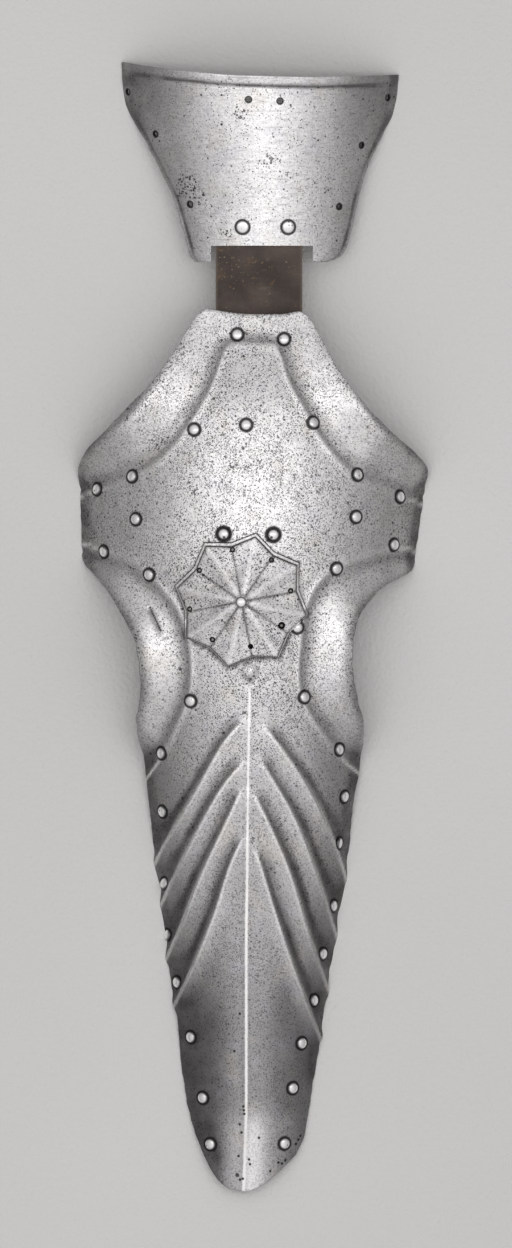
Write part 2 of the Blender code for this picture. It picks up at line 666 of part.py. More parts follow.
def main():
    clear_scene()
    main_steel = material("main_steel", (0.33, 0.32, 0.33), 0.38, 1.0)
    poll_steel = material("poll_steel", (0.45, 0.45, 0.46), 0.33, 1.0)
    rosette_steel = material("rosette_steel", (0.42, 0.40, 0.40), 0.38, 1.0)
    rivet_steel = material("rivet_steel", (0.62, 0.61, 0.60), 0.3, 1.0)
    leather = material("dark_leather", (0.055, 0.034, 0.026), 0.7, 0.0)

    main_plate, poll_plate = plates(main_steel, poll_steel)
    x, y = np.meshgrid(np.linspace(STRAP_LEFT, STRAP_RIGHT, 6), np.linspace(STRAP_LOW, STRAP_HIGH, 9))
    strap = sheet("connecting_strap", x, y, strap_face, STRAP_SHEET, leather)
    star_plate = rosette(rosette_steel)
    over_main = surface_of(main_plate)
    over_poll = surface_of(poll_plate)
    over_strap = surface_of(strap)
    over_star = surface_of(star_plate)

    main_holes, poll_holes, strap_holes, star_holes = [], [], [], []
    plain = (RIVET_HEAD, RIVET_RISE, RIVET_SHANK)
    bore = RIVET_SHANK + GAP
    for names, points in (("brow", BROW_RIVETS), ("left", LEFT_RIVETS), ("right", RIGHT_RIVETS)):
        for count, place in enumerate(points, 1):
            seat = outward(main_face, *place)
            main_holes.append((*seat, bore))
            rivet(f"{names}_rivet_{count}", seat, (over_main, over_main), plain, rivet_steel)
    for count, place in enumerate(STRAP_RIVETS, 1):
        seat = outward(main_face, *place)
        main_holes.append((*seat, bore))
        strap_holes.append((*seat, bore))
        rivet(f"strap_rivet_{count}", seat, (over_main, over_strap), plain, rivet_steel)
    for count, place in enumerate(POLL_RIVETS, 1):
        seat = outward(poll_face, *place)
        poll_holes.append((*seat, bore))
        strap_holes.append((*seat, bore))
        flat = (POLL_RIVET_HEAD, RIVET_RISE, RIVET_SHANK)
        rivet(f"poll_rivet_{count}", seat, (over_poll, over_strap), flat, rivet_steel)
    for place in POLL_LACE_HOLES:
        poll_holes.append((*outward(poll_face, *place), POLL_LACE_HOLE))
    main_holes.append((*outward(main_face, *NOSE_HOLE_AT), NOSE_HOLE))

    seat = outward(main_face, *ROSETTE_AT)
    main_holes.append((*seat, bore))
    star_holes.append((*seat, bore))
    boss = (BOSS_HEAD, RIVET_RISE, RIVET_SHANK)
    rivet("rosette_boss", seat, (over_star, over_main), boss, rivet_steel)
    small = (NAIL_HEAD, NAIL_RISE, NAIL_SHANK)
    for count, place in enumerate(ROSETTE_NAILS, 1):
        seat = outward(main_face, *place)
        main_holes.append((*seat, NAIL_SHANK + GAP))
        star_holes.append((*seat, NAIL_SHANK + GAP))
        rivet(f"rosette_nail_{count}", seat, (over_star, over_main), small, rivet_steel)
    star_holes.append((*outward(main_face, *LOST_NAIL), NAIL_SHANK + GAP))

    cut(main_plate, hole_cutter("main_hole_cutter", main_holes))
    cut(poll_plate, hole_cutter("poll_hole_cutter", poll_holes))
    cut(strap, hole_cutter("strap_hole_cutter", strap_holes))
    cut(star_plate, hole_cutter("rosette_hole_cutter", star_holes))
    covered = (*outward(main_face, *COVERED_RIVET), RIVET_HEAD + 3 * GAP)
    cut(star_plate, hole_cutter("covered_rivet_cutter", [covered], RIVET_RISE + 3 * GAP))


main()
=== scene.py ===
# %% [markdown]
# # A shaffron in Blender
# A shaffron is the steel mask of a war horse. This one has a long main plate that
# runs from between the ears to the nose, a gutter-shaped poll plate behind the ears,
# and a leather strap that joins the two. The packed model gives every piece at its
# real size, in metres, with +Y towards the poll and +Z away from the horse's face.
# This lesson rebuilds each piece as a fine mesh on the same place and finishes it.

# %% The frame
import math
from collections import namedtuple
from functools import lru_cache

import bpy
import numpy as np
from mathutils import Matrix, Vector, noise


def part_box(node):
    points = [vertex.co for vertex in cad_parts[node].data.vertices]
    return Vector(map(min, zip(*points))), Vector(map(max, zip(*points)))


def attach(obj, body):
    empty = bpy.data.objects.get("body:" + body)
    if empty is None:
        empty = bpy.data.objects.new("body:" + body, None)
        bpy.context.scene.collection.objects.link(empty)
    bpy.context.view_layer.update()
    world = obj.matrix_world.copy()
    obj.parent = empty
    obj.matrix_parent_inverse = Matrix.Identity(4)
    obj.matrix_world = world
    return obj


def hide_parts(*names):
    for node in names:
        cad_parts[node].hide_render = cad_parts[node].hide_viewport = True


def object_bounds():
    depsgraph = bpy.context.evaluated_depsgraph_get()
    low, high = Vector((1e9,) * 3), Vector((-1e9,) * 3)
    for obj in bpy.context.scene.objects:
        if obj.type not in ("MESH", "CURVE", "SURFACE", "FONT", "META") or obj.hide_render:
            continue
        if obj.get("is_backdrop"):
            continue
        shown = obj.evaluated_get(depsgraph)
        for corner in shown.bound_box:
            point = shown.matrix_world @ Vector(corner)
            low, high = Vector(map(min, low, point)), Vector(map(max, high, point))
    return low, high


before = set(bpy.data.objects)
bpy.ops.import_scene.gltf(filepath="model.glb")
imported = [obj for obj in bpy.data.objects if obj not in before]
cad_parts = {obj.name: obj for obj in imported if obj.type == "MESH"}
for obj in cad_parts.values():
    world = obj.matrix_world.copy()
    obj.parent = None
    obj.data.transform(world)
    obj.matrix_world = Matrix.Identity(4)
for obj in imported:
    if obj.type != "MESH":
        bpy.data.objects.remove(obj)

MM = 0.001
CAD_BOX = [list(corner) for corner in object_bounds()]
bpy.ops.object.select_all(action="DESELECT")
print("frame box", CAD_BOX, "nodes", len(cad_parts))

# %% [markdown]
# ## The shape as tables
# A smith raises such a plate over a stake, so its form is a vault with swellings
# added to it. The tables hold that form in millimetres: where the edges run, how
# high the vault stands and how tightly it is curved across, and where the creases
# and flutes lie. Functions read them at any place, so the mesh can be as fine as
# it needs to be without a long list of points. Sculpting could give such a form too,
# but nobody could say afterwards how high it stands at a given place.

# %% The main plate's edges
Edge = namedtuple("Edge", "along left right")
Form = namedtuple("Form", "along crown radius middle ridge")
Curve = namedtuple("Curve", "across along")
Point = namedtuple("Point", "x y")
Notch = namedtuple("Notch", "left right top")

MAIN_EDGE = (
    Edge(-353.0, -33.0, 28.5),
    Edge(-341.5, -37.5, 34.0),
    Edge(-325.5, -42.5, 37.0),
    Edge(-309.5, -45.5, 39.5),
    Edge(-288.5, -48.5, 43.0),
    Edge(-263.5, -50.5, 46.5),
    Edge(-240.0, -54.5, 50.0),
    Edge(-219.0, -57.5, 53.5),
    Edge(-198.5, -61.0, 57.0),
    Edge(-171.5, -63.5, 61.5),
    Edge(-146.5, -66.5, 64.5),
    Edge(-115.0, -70.0, 67.5),
    Edge(-97.0, -72.0, 71.0),
    Edge(-87.0, -73.0, 72.0),
    Edge(-73.0, -77.0, 74.0),
    Edge(-63.5, -78.0, 73.5),
    Edge(-53.0, -75.5, 70.5),
    Edge(-38.5, -74.5, 67.5),
    Edge(-26.5, -75.5, 66.0),
    Edge(-9.5, -78.5, 66.5),
    Edge(5.0, -85.5, 70.0),
    Edge(17.5, -93.0, 78.0),
    Edge(26.5, -99.5, 87.5),
    Edge(31.5, -104.0, 96.0),
    Edge(37.0, -108.0, 106.0),
    Edge(41.5, -112.5, 108.0),
    Edge(47.5, -114.5, 108.5),
    Edge(75.0, -115.0, 112.5),
    Edge(92.5, -116.0, 115.0),
    Edge(104.5, -117.0, 117.0),
    Edge(109.5, -115.5, 114.0),
    Edge(116.5, -112.0, 107.5),
    Edge(129.5, -99.5, 92.5),
    Edge(147.0, -83.0, 75.5),
    Edge(163.0, -67.0, 62.5),
    Edge(174.5, -58.5, 54.5),
    Edge(184.5, -51.5, 49.5),
    Edge(194.5, -45.5, 44.0),
    Edge(203.5, -40.0, 39.5),
)
MAIN_NOSE = (
    Curve(-33.0, -353.0),
    Curve(-28.0, -363.0),
    Curve(-22.0, -371.0),
    Curve(-15.0, -375.5),
    Curve(-4.0, -377.0),
    Curve(3.0, -374.5),
    Curve(9.5, -370.5),
    Curve(18.5, -363.0),
    Curve(28.5, -353.0),
)
MAIN_TOP = (
    Curve(-40.0, 203.5),
    Curve(-36.0, 208.5),
    Curve(-30.0, 211.5),
    Curve(-18.0, 209.5),
    Curve(0.0, 208.0),
    Curve(18.0, 208.0),
    Curve(30.5, 209.8),
    Curve(35.0, 208.0),
    Curve(39.5, 203.5),
)
MAIN_FORM = (
    Form(-377.0, 10.5, 62.0, -3.0, -6.4),
    Form(-345.0, 14.5, 60.0, -2.5, -5.2),
    Form(-310.0, 19.0, 60.0, -3.0, -4.5),
    Form(-270.0, 24.0, 62.0, -2.5, -4.5),
    Form(-220.0, 30.5, 65.0, -2.0, -4.5),
    Form(-170.0, 35.5, 72.0, -1.0, -4.0),
    Form(-120.0, 41.0, 82.0, -1.2, -3.5),
    Form(-60.0, 47.0, 98.0, -2.0, -2.5),
    Form(0.0, 52.0, 122.0, -2.0, -1.0),
    Form(50.0, 53.5, 144.0, -2.5, 0.0),
    Form(90.0, 54.4, 148.0, -0.7, 0.0),
    Form(140.0, 53.0, 148.0, -1.0, 0.0),
    Form(180.0, 46.0, 138.0, 0.0, 0.0),
    Form(212.0, 38.0, 120.0, 0.0, 0.0),
)
NOSE_BEND_FROM, TOP_BEND_FROM = -341.5, 194.5
MAIN_SHEET = 1.6
print("main plate sections", len(MAIN_EDGE), "form rows", len(MAIN_FORM))

# %% [markdown]
# ## Creases, flutes and the poll plate
# The creases bound the guards beside the ears and the eyes. The flutes make a row of
# chevrons on the nose, and where one runs out over the edge it leaves a small tooth
# in the outline. Each is a route of a few points, and a smooth curve runs through
# them. They could be edges of the mesh instead, but then every change of a route would
# mean a new mesh. The poll plate has tables of the same kinds as the main plate.

# %% Creases, flutes and the poll plate's edges
EAR_CREASE = (
    Point(-126, 86), Point(-104, 91.5), Point(-92.5, 96), Point(-71, 106.5),
    Point(-55.5, 119.5), Point(-42.5, 137), Point(-31.5, 155.5), Point(-24.5, 172),
    Point(-20, 184.5), Point(-14, 189), Point(0, 189.3), Point(13, 189),
    Point(18.5, 184), Point(25, 164.5), Point(34.5, 147), Point(46.5, 126),
    Point(61, 109), Point(71, 101), Point(85.5, 95), Point(98, 88), Point(126, 80),
)
LEFT_EYE_CREASE = (
    Point(-126, 57.5), Point(-99.5, 49.5), Point(-86.5, 45), Point(-76, 38),
    Point(-63.5, 26), Point(-51.5, 10.5), Point(-44.5, -9.5), Point(-42.5, -29),
    Point(-44.5, -46), Point(-53, -67.5), Point(-61, -84.5), Point(-71, -99),
    Point(-78, -108),
)
RIGHT_EYE_CREASE = (
    Point(120, 44), Point(106, 49.5), Point(93, 51), Point(79.5, 47.5), Point(62.5, 40),
    Point(49.5, 33), Point(41.5, 22.5), Point(36, 9), Point(34, -6),
    Point(32, -27), Point(33, -43), Point(39, -57.5), Point(49.5, -73),
    Point(60, -87), Point(71, -96.5), Point(80, -104),
)
FLUTES = (
    (Point(-4, -59.5), Point(-20.5, -78.5), Point(-39, -110.5), Point(-60, -146), Point(-76, -177)),
    (Point(-4, -87), Point(-22.5, -109.5), Point(-41, -142.5), Point(-60, -181), Point(-72, -207)),
    (
        Point(-6, -105), Point(-20.5, -135), Point(-35.5, -166.5), Point(-49, -200.5),
        Point(-66, -237),
    ),
    (
        Point(-5, -136.5), Point(-16, -160), Point(-26.5, -192), Point(-42.5, -230.5),
        Point(-62, -270),
    ),
    (Point(70, -192), Point(58.5, -154.5), Point(44.5, -121.5), Point(26.5, -91), Point(5, -63)),
    (Point(65, -232), Point(42.5, -164), Point(28.5, -128.5), Point(12, -100), Point(1.5, -84)),
    (Point(60, -266), Point(40.5, -213.5), Point(26, -166.5), Point(12.5, -135), Point(-1.5, -107)),
    (Point(58, -306), Point(32.5, -240.5), Point(16, -193), Point(5.5, -160), Point(0, -144)),
)
LEFT_TEETH = (-158.0, -188.0, -222.0, -251.0)
RIGHT_TEETH = (-168.0, -207.0, -245.0, -273.0)
TOOTH_REACH, TOOTH_SPREAD = 1.5, 4.5

POLL_EDGE = (
    Edge(243.0, -39.0, 50.0),
    Edge(247.0, -42.0, 59.0),
    Edge(254.0, -44.0, 63.0),
    Edge(268.0, -48.0, 67.0),
    Edge(285.0, -53.0, 70.5),
    Edge(303.0, -61.5, 75.5),
    Edge(317.0, -68.5, 81.5),
    Edge(330.0, -75.5, 87.5),
    Edge(343.5, -83.0, 94.0),
    Edge(354.0, -87.0, 96.5),
    Edge(363.0, -88.0, 97.5),
)
POLL_TOP = (
    Curve(-88.0, 377.0),
    Curve(-75.5, 374.5),
    Curve(-42.0, 369.5),
    Curve(-8.0, 366.5),
    Curve(37.5, 365.5),
    Curve(83.5, 367.5),
    Curve(97.5, 368.5),
)
POLL_FORM = (
    Form(243.0, 29.0, 92.0, 6.0, 6.0),
    Form(270.0, 32.5, 93.0, 6.0, 6.0),
    Form(300.0, 37.0, 97.0, 5.5, 5.5),
    Form(328.0, 41.0, 107.0, 5.0, 5.0),
    Form(350.0, 44.0, 114.5, 5.0, 5.0),
    Form(366.0, 46.5, 117.0, 4.8, 4.8),
)
POLL_BEND_FROM = 348.0
POLL_SHEET = 1.4
POLL_NOTCH = Notch(-28.0, 40.0, 253.7)
print("creases 3, flutes", len(FLUTES), "poll sections", len(POLL_EDGE))

# %% [markdown]
# ## Reading the tables
# A curve through the rows must not overshoot them, or the outline would bulge
# between two sections. The monotone cubic below keeps to its rows. `beside` measures
# how far a place lies from a crease and on which side, which is what every swelling,
# groove and flute is worked out from.

# %% Functions on the tables
def read(table, key, column, at):
    place = np.array([getattr(row, key) for row in table], float)
    value = np.array([getattr(row, column) for row in table], float)
    step = np.diff(place)
    slope = np.diff(value) / step
    tangent = np.zeros_like(value)
    tangent[0], tangent[-1] = slope[0], slope[-1]
    product = slope[1:] * slope[:-1]
    total = slope[1:] + slope[:-1]
    tangent[1:-1] = np.where(product > 0, 2 * product / np.where(product > 0, total, 1), 0)
    at = np.clip(at, place[0], place[-1])
    k = np.clip(np.searchsorted(place, at, side="right") - 1, 0, len(step) - 1)
    u = (at - place[k]) / step[k]
    start = (1 + 2 * u) * (1 - u) ** 2 * value[k] + u * (1 - u) ** 2 * step[k] * tangent[k]
    end = u**2 * (3 - 2 * u) * value[k + 1] + u**2 * (u - 1) * step[k] * tangent[k + 1]
    return start + end


def ease(low, high, at):
    u = np.clip((at - low) / (high - low), 0, 1)
    return u * u * (3 - 2 * u)


def bell(off, spread):
    return np.exp(-((off / spread) ** 2))


def distance(point, x, y):
    return np.hypot(x - point.x, y - point.y)


def inset_from(edge, x, y):
    """How far inside a plate's left or right edge a place lies."""
    return np.minimum(x - read(edge, "along", "left", y), read(edge, "along", "right", y) - x)


def below_top(curve, x, y):
    """How far below a plate's curved upper edge a place lies."""
    return read(curve, "across", "along", x) - y


@lru_cache(maxsize=None)
def smooth_route(points, steps=6):
    """Start, reach, length and distance gone of each short step of a curve through points."""
    p = np.array(points, float)
    p = np.vstack([2 * p[0] - p[1], p, 2 * p[-1] - p[-2]])
    found = []
    for a, b, c, d in zip(p, p[1:], p[2:], p[3:]):
        for u in np.arange(steps) / steps:
            curve = 2 * b + (c - a) * u + (2 * a - 5 * b + 4 * c - d) * u**2
            found.append((curve + (3 * b - a - 3 * c + d) * u**3) / 2)
    route = np.array(found + [p[-2]])
    reach = np.diff(route, axis=0)
    length = np.hypot(*reach.T)
    return route[:-1], reach, length, np.concatenate([[0], np.cumsum(length)])


def beside(points, x, y):
    """Distance from a route, positive on its left, place along it, and its whole length."""
    start, reach, length, gone = smooth_route(points)
    signed, along = np.empty(np.size(x)), np.empty(np.size(x))
    flat = np.stack([np.ravel(x), np.ravel(y)], axis=1)
    for first in range(0, len(flat), 4000):
        some = slice(first, first + 4000)
        off = flat[some, None] - start
        u = np.clip((off * reach).sum(2) / length**2, 0, 1)
        apart = np.hypot(*(off - u[..., None] * reach).transpose(2, 0, 1))
        near = apart.argmin(1)
        pick = np.arange(len(near)), near
        side = reach[near, 0] * off[pick][:, 1] - reach[near, 1] * off[pick][:, 0]
        signed[some] = np.where(side >= 0, 1, -1) * apart[pick]
        along[some] = gone[near] + u[pick] * length[near]
    return signed.reshape(np.shape(x)), along.reshape(np.shape(x)), gone[-1]


print("crown over the brow", float(read(MAIN_FORM, "along", "crown", np.array([60.0]))[0]))

# %% [markdown]
# ## The vault and the guards
# The bare plate is a vault: an arc across at every section. Outside each crease the
# sheet rolls up into a guard round the ear or the eye, with a fine lip and groove
# where it starts. A bevelled curve along the edge could make such a roll, but it would
# be a second piece, and the real guard is one sheet with the plate. The roll offsets
# the fall of the vault, so it is given as a slope that grows, holds and then turns
# down to the edge.

# %% Vault and guards
Roll = namedtuple("Roll", "slope level_from level_to turned_by")
Bump = namedtuple("Bump", "height at spread")
EAR_ROLL, EYE_ROLL = Roll(0.68, 9.0, 27.0, 38.0), Roll(0.86, 12.0, 31.0, 44.0)
EAR_LEAST_SLOPE, TURN_DOWN = 0.15, 1.6
GUARD_LIP, GUARD_GROOVE = Bump(0.7, -1.8, 1.7), Bump(0.9, 3.5, 3.5)


def bump(off, form):
    return form.height * bell(off - form.at, form.spread)


def vault(form, x, y):
    radius = read(form, "along", "radius", y)
    off = np.clip(x - read(form, "along", "middle", y), -0.97 * radius, 0.97 * radius)
    return read(form, "along", "crown", y) - radius + np.sqrt(radius**2 - off**2)


def vault_fall(form, x, y):
    """How steeply the bare vault falls towards the side."""
    radius = read(form, "along", "radius", y)
    off = np.clip(abs(x - read(form, "along", "middle", y)), 0, 0.78 * radius)
    return off / np.sqrt(radius**2 - off**2)


def guard(out, form, slope):
    """A groove, then a rise that offsets the vault's fall, then a turn down to the edge."""
    steps = np.linspace(0, 60, 121)
    turned = ease(form.level_to, form.turned_by, steps)
    rate = ease(0, form.level_from, steps) * (1 - TURN_DOWN * turned)
    rise = np.concatenate([[0], np.cumsum((rate[1:] + rate[:-1]) / 2 * np.diff(steps))])
    return slope * np.interp(out, steps, rise) + bump(out, GUARD_LIP) - bump(out, GUARD_GROOVE)


def creases(x, y):
    """How far outside each of the three creases a place lies."""
    ear, _, _ = beside(EAR_CREASE, x, y)
    left, _, _ = beside(LEFT_EYE_CREASE, x, y)
    right, _, _ = beside(RIGHT_EYE_CREASE, x, y)
    return ear, -left, right


rolled = float(guard(30.0, EAR_ROLL, EAR_ROLL.slope))
print("30 mm outside its crease the ear's guard offsets the fall by", round(rolled, 1), "mm")

# %% [markdown]
# ## Flutes, keel and hammering
# Each flute is a step: a crest, a narrow valley outside it and a long fall inside it.
# A keel runs down the nose from a small knob, and the left eye's guard has an old
# scar. Last comes a faint hammered unevenness, because a plate that is perfectly
# smooth looks cast and not beaten. A Displace modifier could add it, but the rivets
# could not then ask how high the hammered sheet stands under them.

# %% Face of the main plate
FLUTE_RISE, FLUTE_VALLEY, FLUTE_FADE = 2.8, 1.3, 14.0
KEEL_RISE, KEEL_FROM, KEEL_SPREAD = 0.55, -36.0, 2.4
KEEL_STOP, STOP_DENT_AT = Point(-2.0, -30.0), Point(-2.0, -36.0)
STOP_KNOB, STOP_DENT = Bump(1.3, 0.0, 2.6), Bump(0.9, 0.0, 2.0)
GUARD_DENT = (Point(-69, 12), Point(-62, -3))
DENT_DEPTH, DENT_SPREAD = 1.1, 1.7


def flute(out):
    fall = np.clip(1 - out / 3.2, 0, 1) ** 1.3
    crest = FLUTE_RISE * np.where(out < 0, np.clip(1 + out / 13, 0, 1) ** 2, fall)
    return crest - FLUTE_VALLEY * bell(out - 4.5, 2.4)


def flute_places(x, y):
    """For each flute, how far outside it a place lies and how strong it is there."""
    for points in FLUTES:
        out, along, whole = beside(points, x, y)
        from_keel = along if points[0].x < 0 else whole - along
        yield -out, ease(0, FLUTE_FADE, from_keel) * (0.55 + 0.45 * ease(10, 90, from_keel))


def hammered(x, y, depth, size):
    spots = np.stack([np.ravel(x), np.ravel(y)], axis=1) / size
    return depth * np.array([noise.noise((u, v, 0.0)) for u, v in spots]).reshape(np.shape(x))


def off_ridge(x, y):
    """How far right of the keel's line a place lies."""
    return x - read(MAIN_FORM, "along", "ridge", y)


def guard_scar(x, y, spread):
    off, _, _ = beside(GUARD_DENT, x, y)
    return bell(off, spread) * (y > GUARD_DENT[1].y) * (y < GUARD_DENT[0].y)


def main_face(x, y):
    height = vault(MAIN_FORM, x, y)
    ear, left, right = creases(x, y)
    ear_slope = EAR_LEAST_SLOPE + (EAR_ROLL.slope - EAR_LEAST_SLOPE) * ease(20, 95, abs(x))
    height = height + guard(ear, EAR_ROLL, ear_slope)
    eye_slope = EYE_ROLL.slope * vault_fall(MAIN_FORM, x, y) * (1 - 0.45 * ease(-5, 45, y))
    height = height + guard(left, EYE_ROLL, eye_slope) + guard(right, EYE_ROLL, eye_slope)
    for out, strength in flute_places(x, y):
        height = height + flute(out) * strength
    height = height + KEEL_RISE * ease(0, 25, KEEL_FROM - y) * bell(off_ridge(x, y), KEEL_SPREAD)
    height = height + bump(distance(KEEL_STOP, x, y), STOP_KNOB)
    height = height - bump(distance(STOP_DENT_AT, x, y), STOP_DENT)
    return height - DENT_DEPTH * guard_scar(x, y, DENT_SPREAD)


def main_finished(x, y):
    broad, fine = hammered(x, y, depth=0.35, size=34.0), hammered(x + 500, y, depth=0.14, size=13.0)
    return main_face(x, y) + broad + fine


print("height on the brow", round(float(main_face(np.array([0.0]), np.array([80.0]))[0]), 1), "mm")

# %% [markdown]
# ## Laying out a plate
# A plate's outline is laid out flat first. The rows of the grid are the sections of
# the plate, and its columns are closer together towards the edges, where the sheet
# turns down. An outline that is filled in one go gets long thin faces, which shade
# badly once they are bent. A worn edge is never quite even, so it wanders by a
# fraction of a millimetre, and at a curved end the last rows bend to its curve.

# %% Plan of a plate
COLUMN_ARC = math.radians(48)
WEAR_LENGTH = 7.0


def worn_edge(place, seed, depth):
    spots = np.atleast_1d(place) / WEAR_LENGTH
    return depth * np.array([noise.noise((spot, seed, 0.0)) for spot in spots])


def tooth_reach(places, teeth):
    """How far the teeth at these places along the plate stand out from its edge."""
    return sum((TOOTH_REACH * bell(places - at, TOOTH_SPREAD) for at in teeth), 0 * places)


def plan_grid(edge, form, places, columns, ends, wear, teeth=((), ())):
    turns = np.linspace(-1, 1, columns + 1)
    spread = np.sin(turns * COLUMN_ARC) / math.sin(COLUMN_ARC)
    ridge = read(form, "along", "ridge", places)[:, None]
    left = read(edge, "along", "left", places) - tooth_reach(places, teeth[0])
    left = (left + worn_edge(places, seed=3.0, depth=wear))[:, None]
    right = read(edge, "along", "right", places) + tooth_reach(places, teeth[1])
    right = (right + worn_edge(places, seed=8.0, depth=wear))[:, None]
    x = ridge + np.where(spread < 0, ridge - left, right - ridge) * spread
    y = np.repeat(places[:, None], columns + 1, axis=1)
    for begin, curve in ends:
        edge_place = edge[0].along if begin < 0 else edge[-1].along
        bent = np.clip((places - begin) / (edge_place - begin), 0, None)[:, None]
        y = y + bent * (read(curve, "across", "along", x) - edge_place)
    return x, y


print("columns at the edge are", round(math.cos(COLUMN_ARC), 2), "as wide as at the middle")

# %% [markdown]
# ## Small tools for every piece
# Operators act on what is selected and active, so a piece is picked alone first. A
# modifier is added with its settings and applied at once, which leaves a plain mesh.
# Arrays of all vertices are quicker to work with than one vertex at a time.

# %% Picking, modifiers and shading
def pick(obj):
    bpy.ops.object.select_all(action="DESELECT")
    obj.select_set(True)
    bpy.context.view_layer.objects.active = obj


def apply_modifier(obj, kind, **settings):
    made = obj.modifiers.new(kind.title(), kind)
    for key, value in settings.items():
        setattr(made, key, value)
    bpy.context.view_layer.objects.active = obj
    bpy.ops.object.modifier_apply(modifier=made.name)


def cut(obj, cutter):
    """Takes the cutter's shape out of a piece, and removes the cutter."""
    apply_modifier(obj, "BOOLEAN", operation="DIFFERENCE", object=cutter)
    bpy.data.objects.remove(cutter, do_unlink=True)


def shade(obj, angle):
    pick(obj)
    bpy.ops.object.shade_smooth_by_angle(angle=math.radians(angle))


def triangles(obj):
    obj.data.calc_loop_triangles()
    return len(obj.data.loop_triangles)


def on_vertices(obj, what):
    """The place ("co") or the direction ("normal") of every vertex."""
    flat = np.empty(len(obj.data.vertices) * 3, np.float32)
    obj.data.vertices.foreach_get(what, flat)
    return flat.reshape(-1, 3)


print("small tools:", [tool.__name__ for tool in (pick, apply_modifier, cut, shade, triangles)])

# %% [markdown]
# ## From a flat grid to a raised sheet
# Each plate starts as a grid primitive. Edit mode has no tool that lays a grid over a
# formula, so the vertices are moved in code. Solidify then gives the sheet its
# thickness on the inner side, and a small bevel takes the sharpness off the rim. What
# hangs below the floor is cut off with a plane.

# %% Sheet maker
RIM_ANGLE = 62


def grid_sheet(name, x, y, height, thickness):
    rows, columns = x.shape
    bpy.ops.mesh.primitive_grid_add(x_subdivisions=columns - 1, y_subdivisions=rows - 1, size=2)
    obj = bpy.context.object
    obj.name = name
    across, along, _ = (on_vertices(obj, "co").T + 1) / 2
    column = np.rint(across * (columns - 1)).astype(int)
    row = np.rint(along * (rows - 1)).astype(int)
    raised = np.stack([x[row, column], y[row, column], height[row, column]], axis=1) * MM
    obj.data.vertices.foreach_set("co", raised.astype(np.float32).ravel())
    apply_modifier(obj, "SOLIDIFY", thickness=thickness * MM, offset=-1, use_even_offset=True)
    return obj


def round_rim(obj, width):
    apply_modifier(
        obj, "BEVEL", width=width * MM, segments=2, use_clamp_overlap=False,
        limit_method="ANGLE", angle_limit=math.radians(RIM_ANGLE),
    )


def trim_at_floor(obj):
    """Cuts off whatever hangs below the floor and closes the cut."""
    pick(obj)
    bpy.ops.object.mode_set(mode="EDIT")
    bpy.ops.mesh.select_all(action="SELECT")
    bpy.ops.mesh.bisect(plane_co=(0, 0, 0), plane_no=(0, 0, 1), use_fill=True, clear_inner=True)
    bpy.ops.object.mode_set(mode="OBJECT")


print("rims are rounded where faces meet at more than", RIM_ANGLE, "degrees")

# %% [markdown]
# ## Heights, directions and holes
# A hole or a rivet stands square to the sheet, so it needs the face's height and the
# direction outwards at its place. Both could be read off the nearest face of the mesh,
# but the function that raised the sheet gives them without its facets. A hole is cut
# by a short cylinder, as a punch would do it.

# %% Height, direction and drill
DRILL_SIDES, DRILL_LENGTH = 28, 24


def height_at(face, x, y):
    return float(face(np.array([x], float), np.array([y], float))[0])


def outward(face, x, y, step=3.0):
    """The point of a face over x, y and the direction outwards, in millimetres."""
    at_x = np.array([x, x + step, x - step, x, x], float)
    at_y = np.array([y, y, y, y + step, y - step], float)
    here, right, left, above, below = face(at_x, at_y)
    tilt = Vector(((left - right) / (2 * step), (below - above) / (2 * step), 1))
    return Vector((x, y, float(here))), tilt.normalized()


def drill(obj, places):
    """Round holes: each place is (point, direction, radius) in millimetres."""
    bpy.ops.object.select_all(action="DESELECT")
    for point, direction, radius in places:
        bpy.ops.mesh.primitive_cylinder_add(
            vertices=DRILL_SIDES, radius=radius * MM, depth=DRILL_LENGTH * MM,
            location=point * MM, rotation=direction.to_track_quat("Z", "Y").to_euler(),
        )
        cut(obj, bpy.context.object)


print("the brow faces", tuple(round(value, 2) for value in outward(main_face, 0, 80)[1]))

# %% [markdown]
# ## The main plate
# This plate guards the face from between the ears to the nose. A coarse cage under a
# Subdivision Surface could carry its vault, but the flutes and lips are only a few
# millimetres wide, so the grid itself is fine. Its rows are closest over the nose,
# where the flutes are, and at both ends, where they bend to the curved edge. The one
# small hole near the tip is cut last.

# %% Main plate
NOSE_HOLE_AT, NOSE_HOLE = Point(-10.5, -366), 1.4
MAIN_COLUMNS, MAIN_WEAR, MAIN_BEVEL = 126, 0.7, 0.35
main_places = np.concatenate([
    np.linspace(MAIN_EDGE[0].along, NOSE_BEND_FROM, 24, endpoint=False),
    np.linspace(NOSE_BEND_FROM, KEEL_FROM, 214, endpoint=False),
    np.linspace(KEEL_FROM, TOP_BEND_FROM, 94, endpoint=False),
    np.linspace(TOP_BEND_FROM, MAIN_EDGE[-1].along, 9),
])
main_x, main_y = plan_grid(
    MAIN_EDGE, MAIN_FORM, main_places, MAIN_COLUMNS,
    ((NOSE_BEND_FROM, MAIN_NOSE), (TOP_BEND_FROM, MAIN_TOP)), MAIN_WEAR,
    (LEFT_TEETH, RIGHT_TEETH),
)
main_height = main_finished(main_x, main_y)
main_plate = grid_sheet("main_plate_fine", main_x, main_y, main_height, MAIN_SHEET)
round_rim(main_plate, MAIN_BEVEL)
trim_at_floor(main_plate)
drill(main_plate, [(*outward(main_face, *NOSE_HOLE_AT), NOSE_HOLE)])
shade(main_plate, 50)
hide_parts("main_plate")
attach(main_plate, "root")
print("main plate", triangles(main_plate), "triangles")

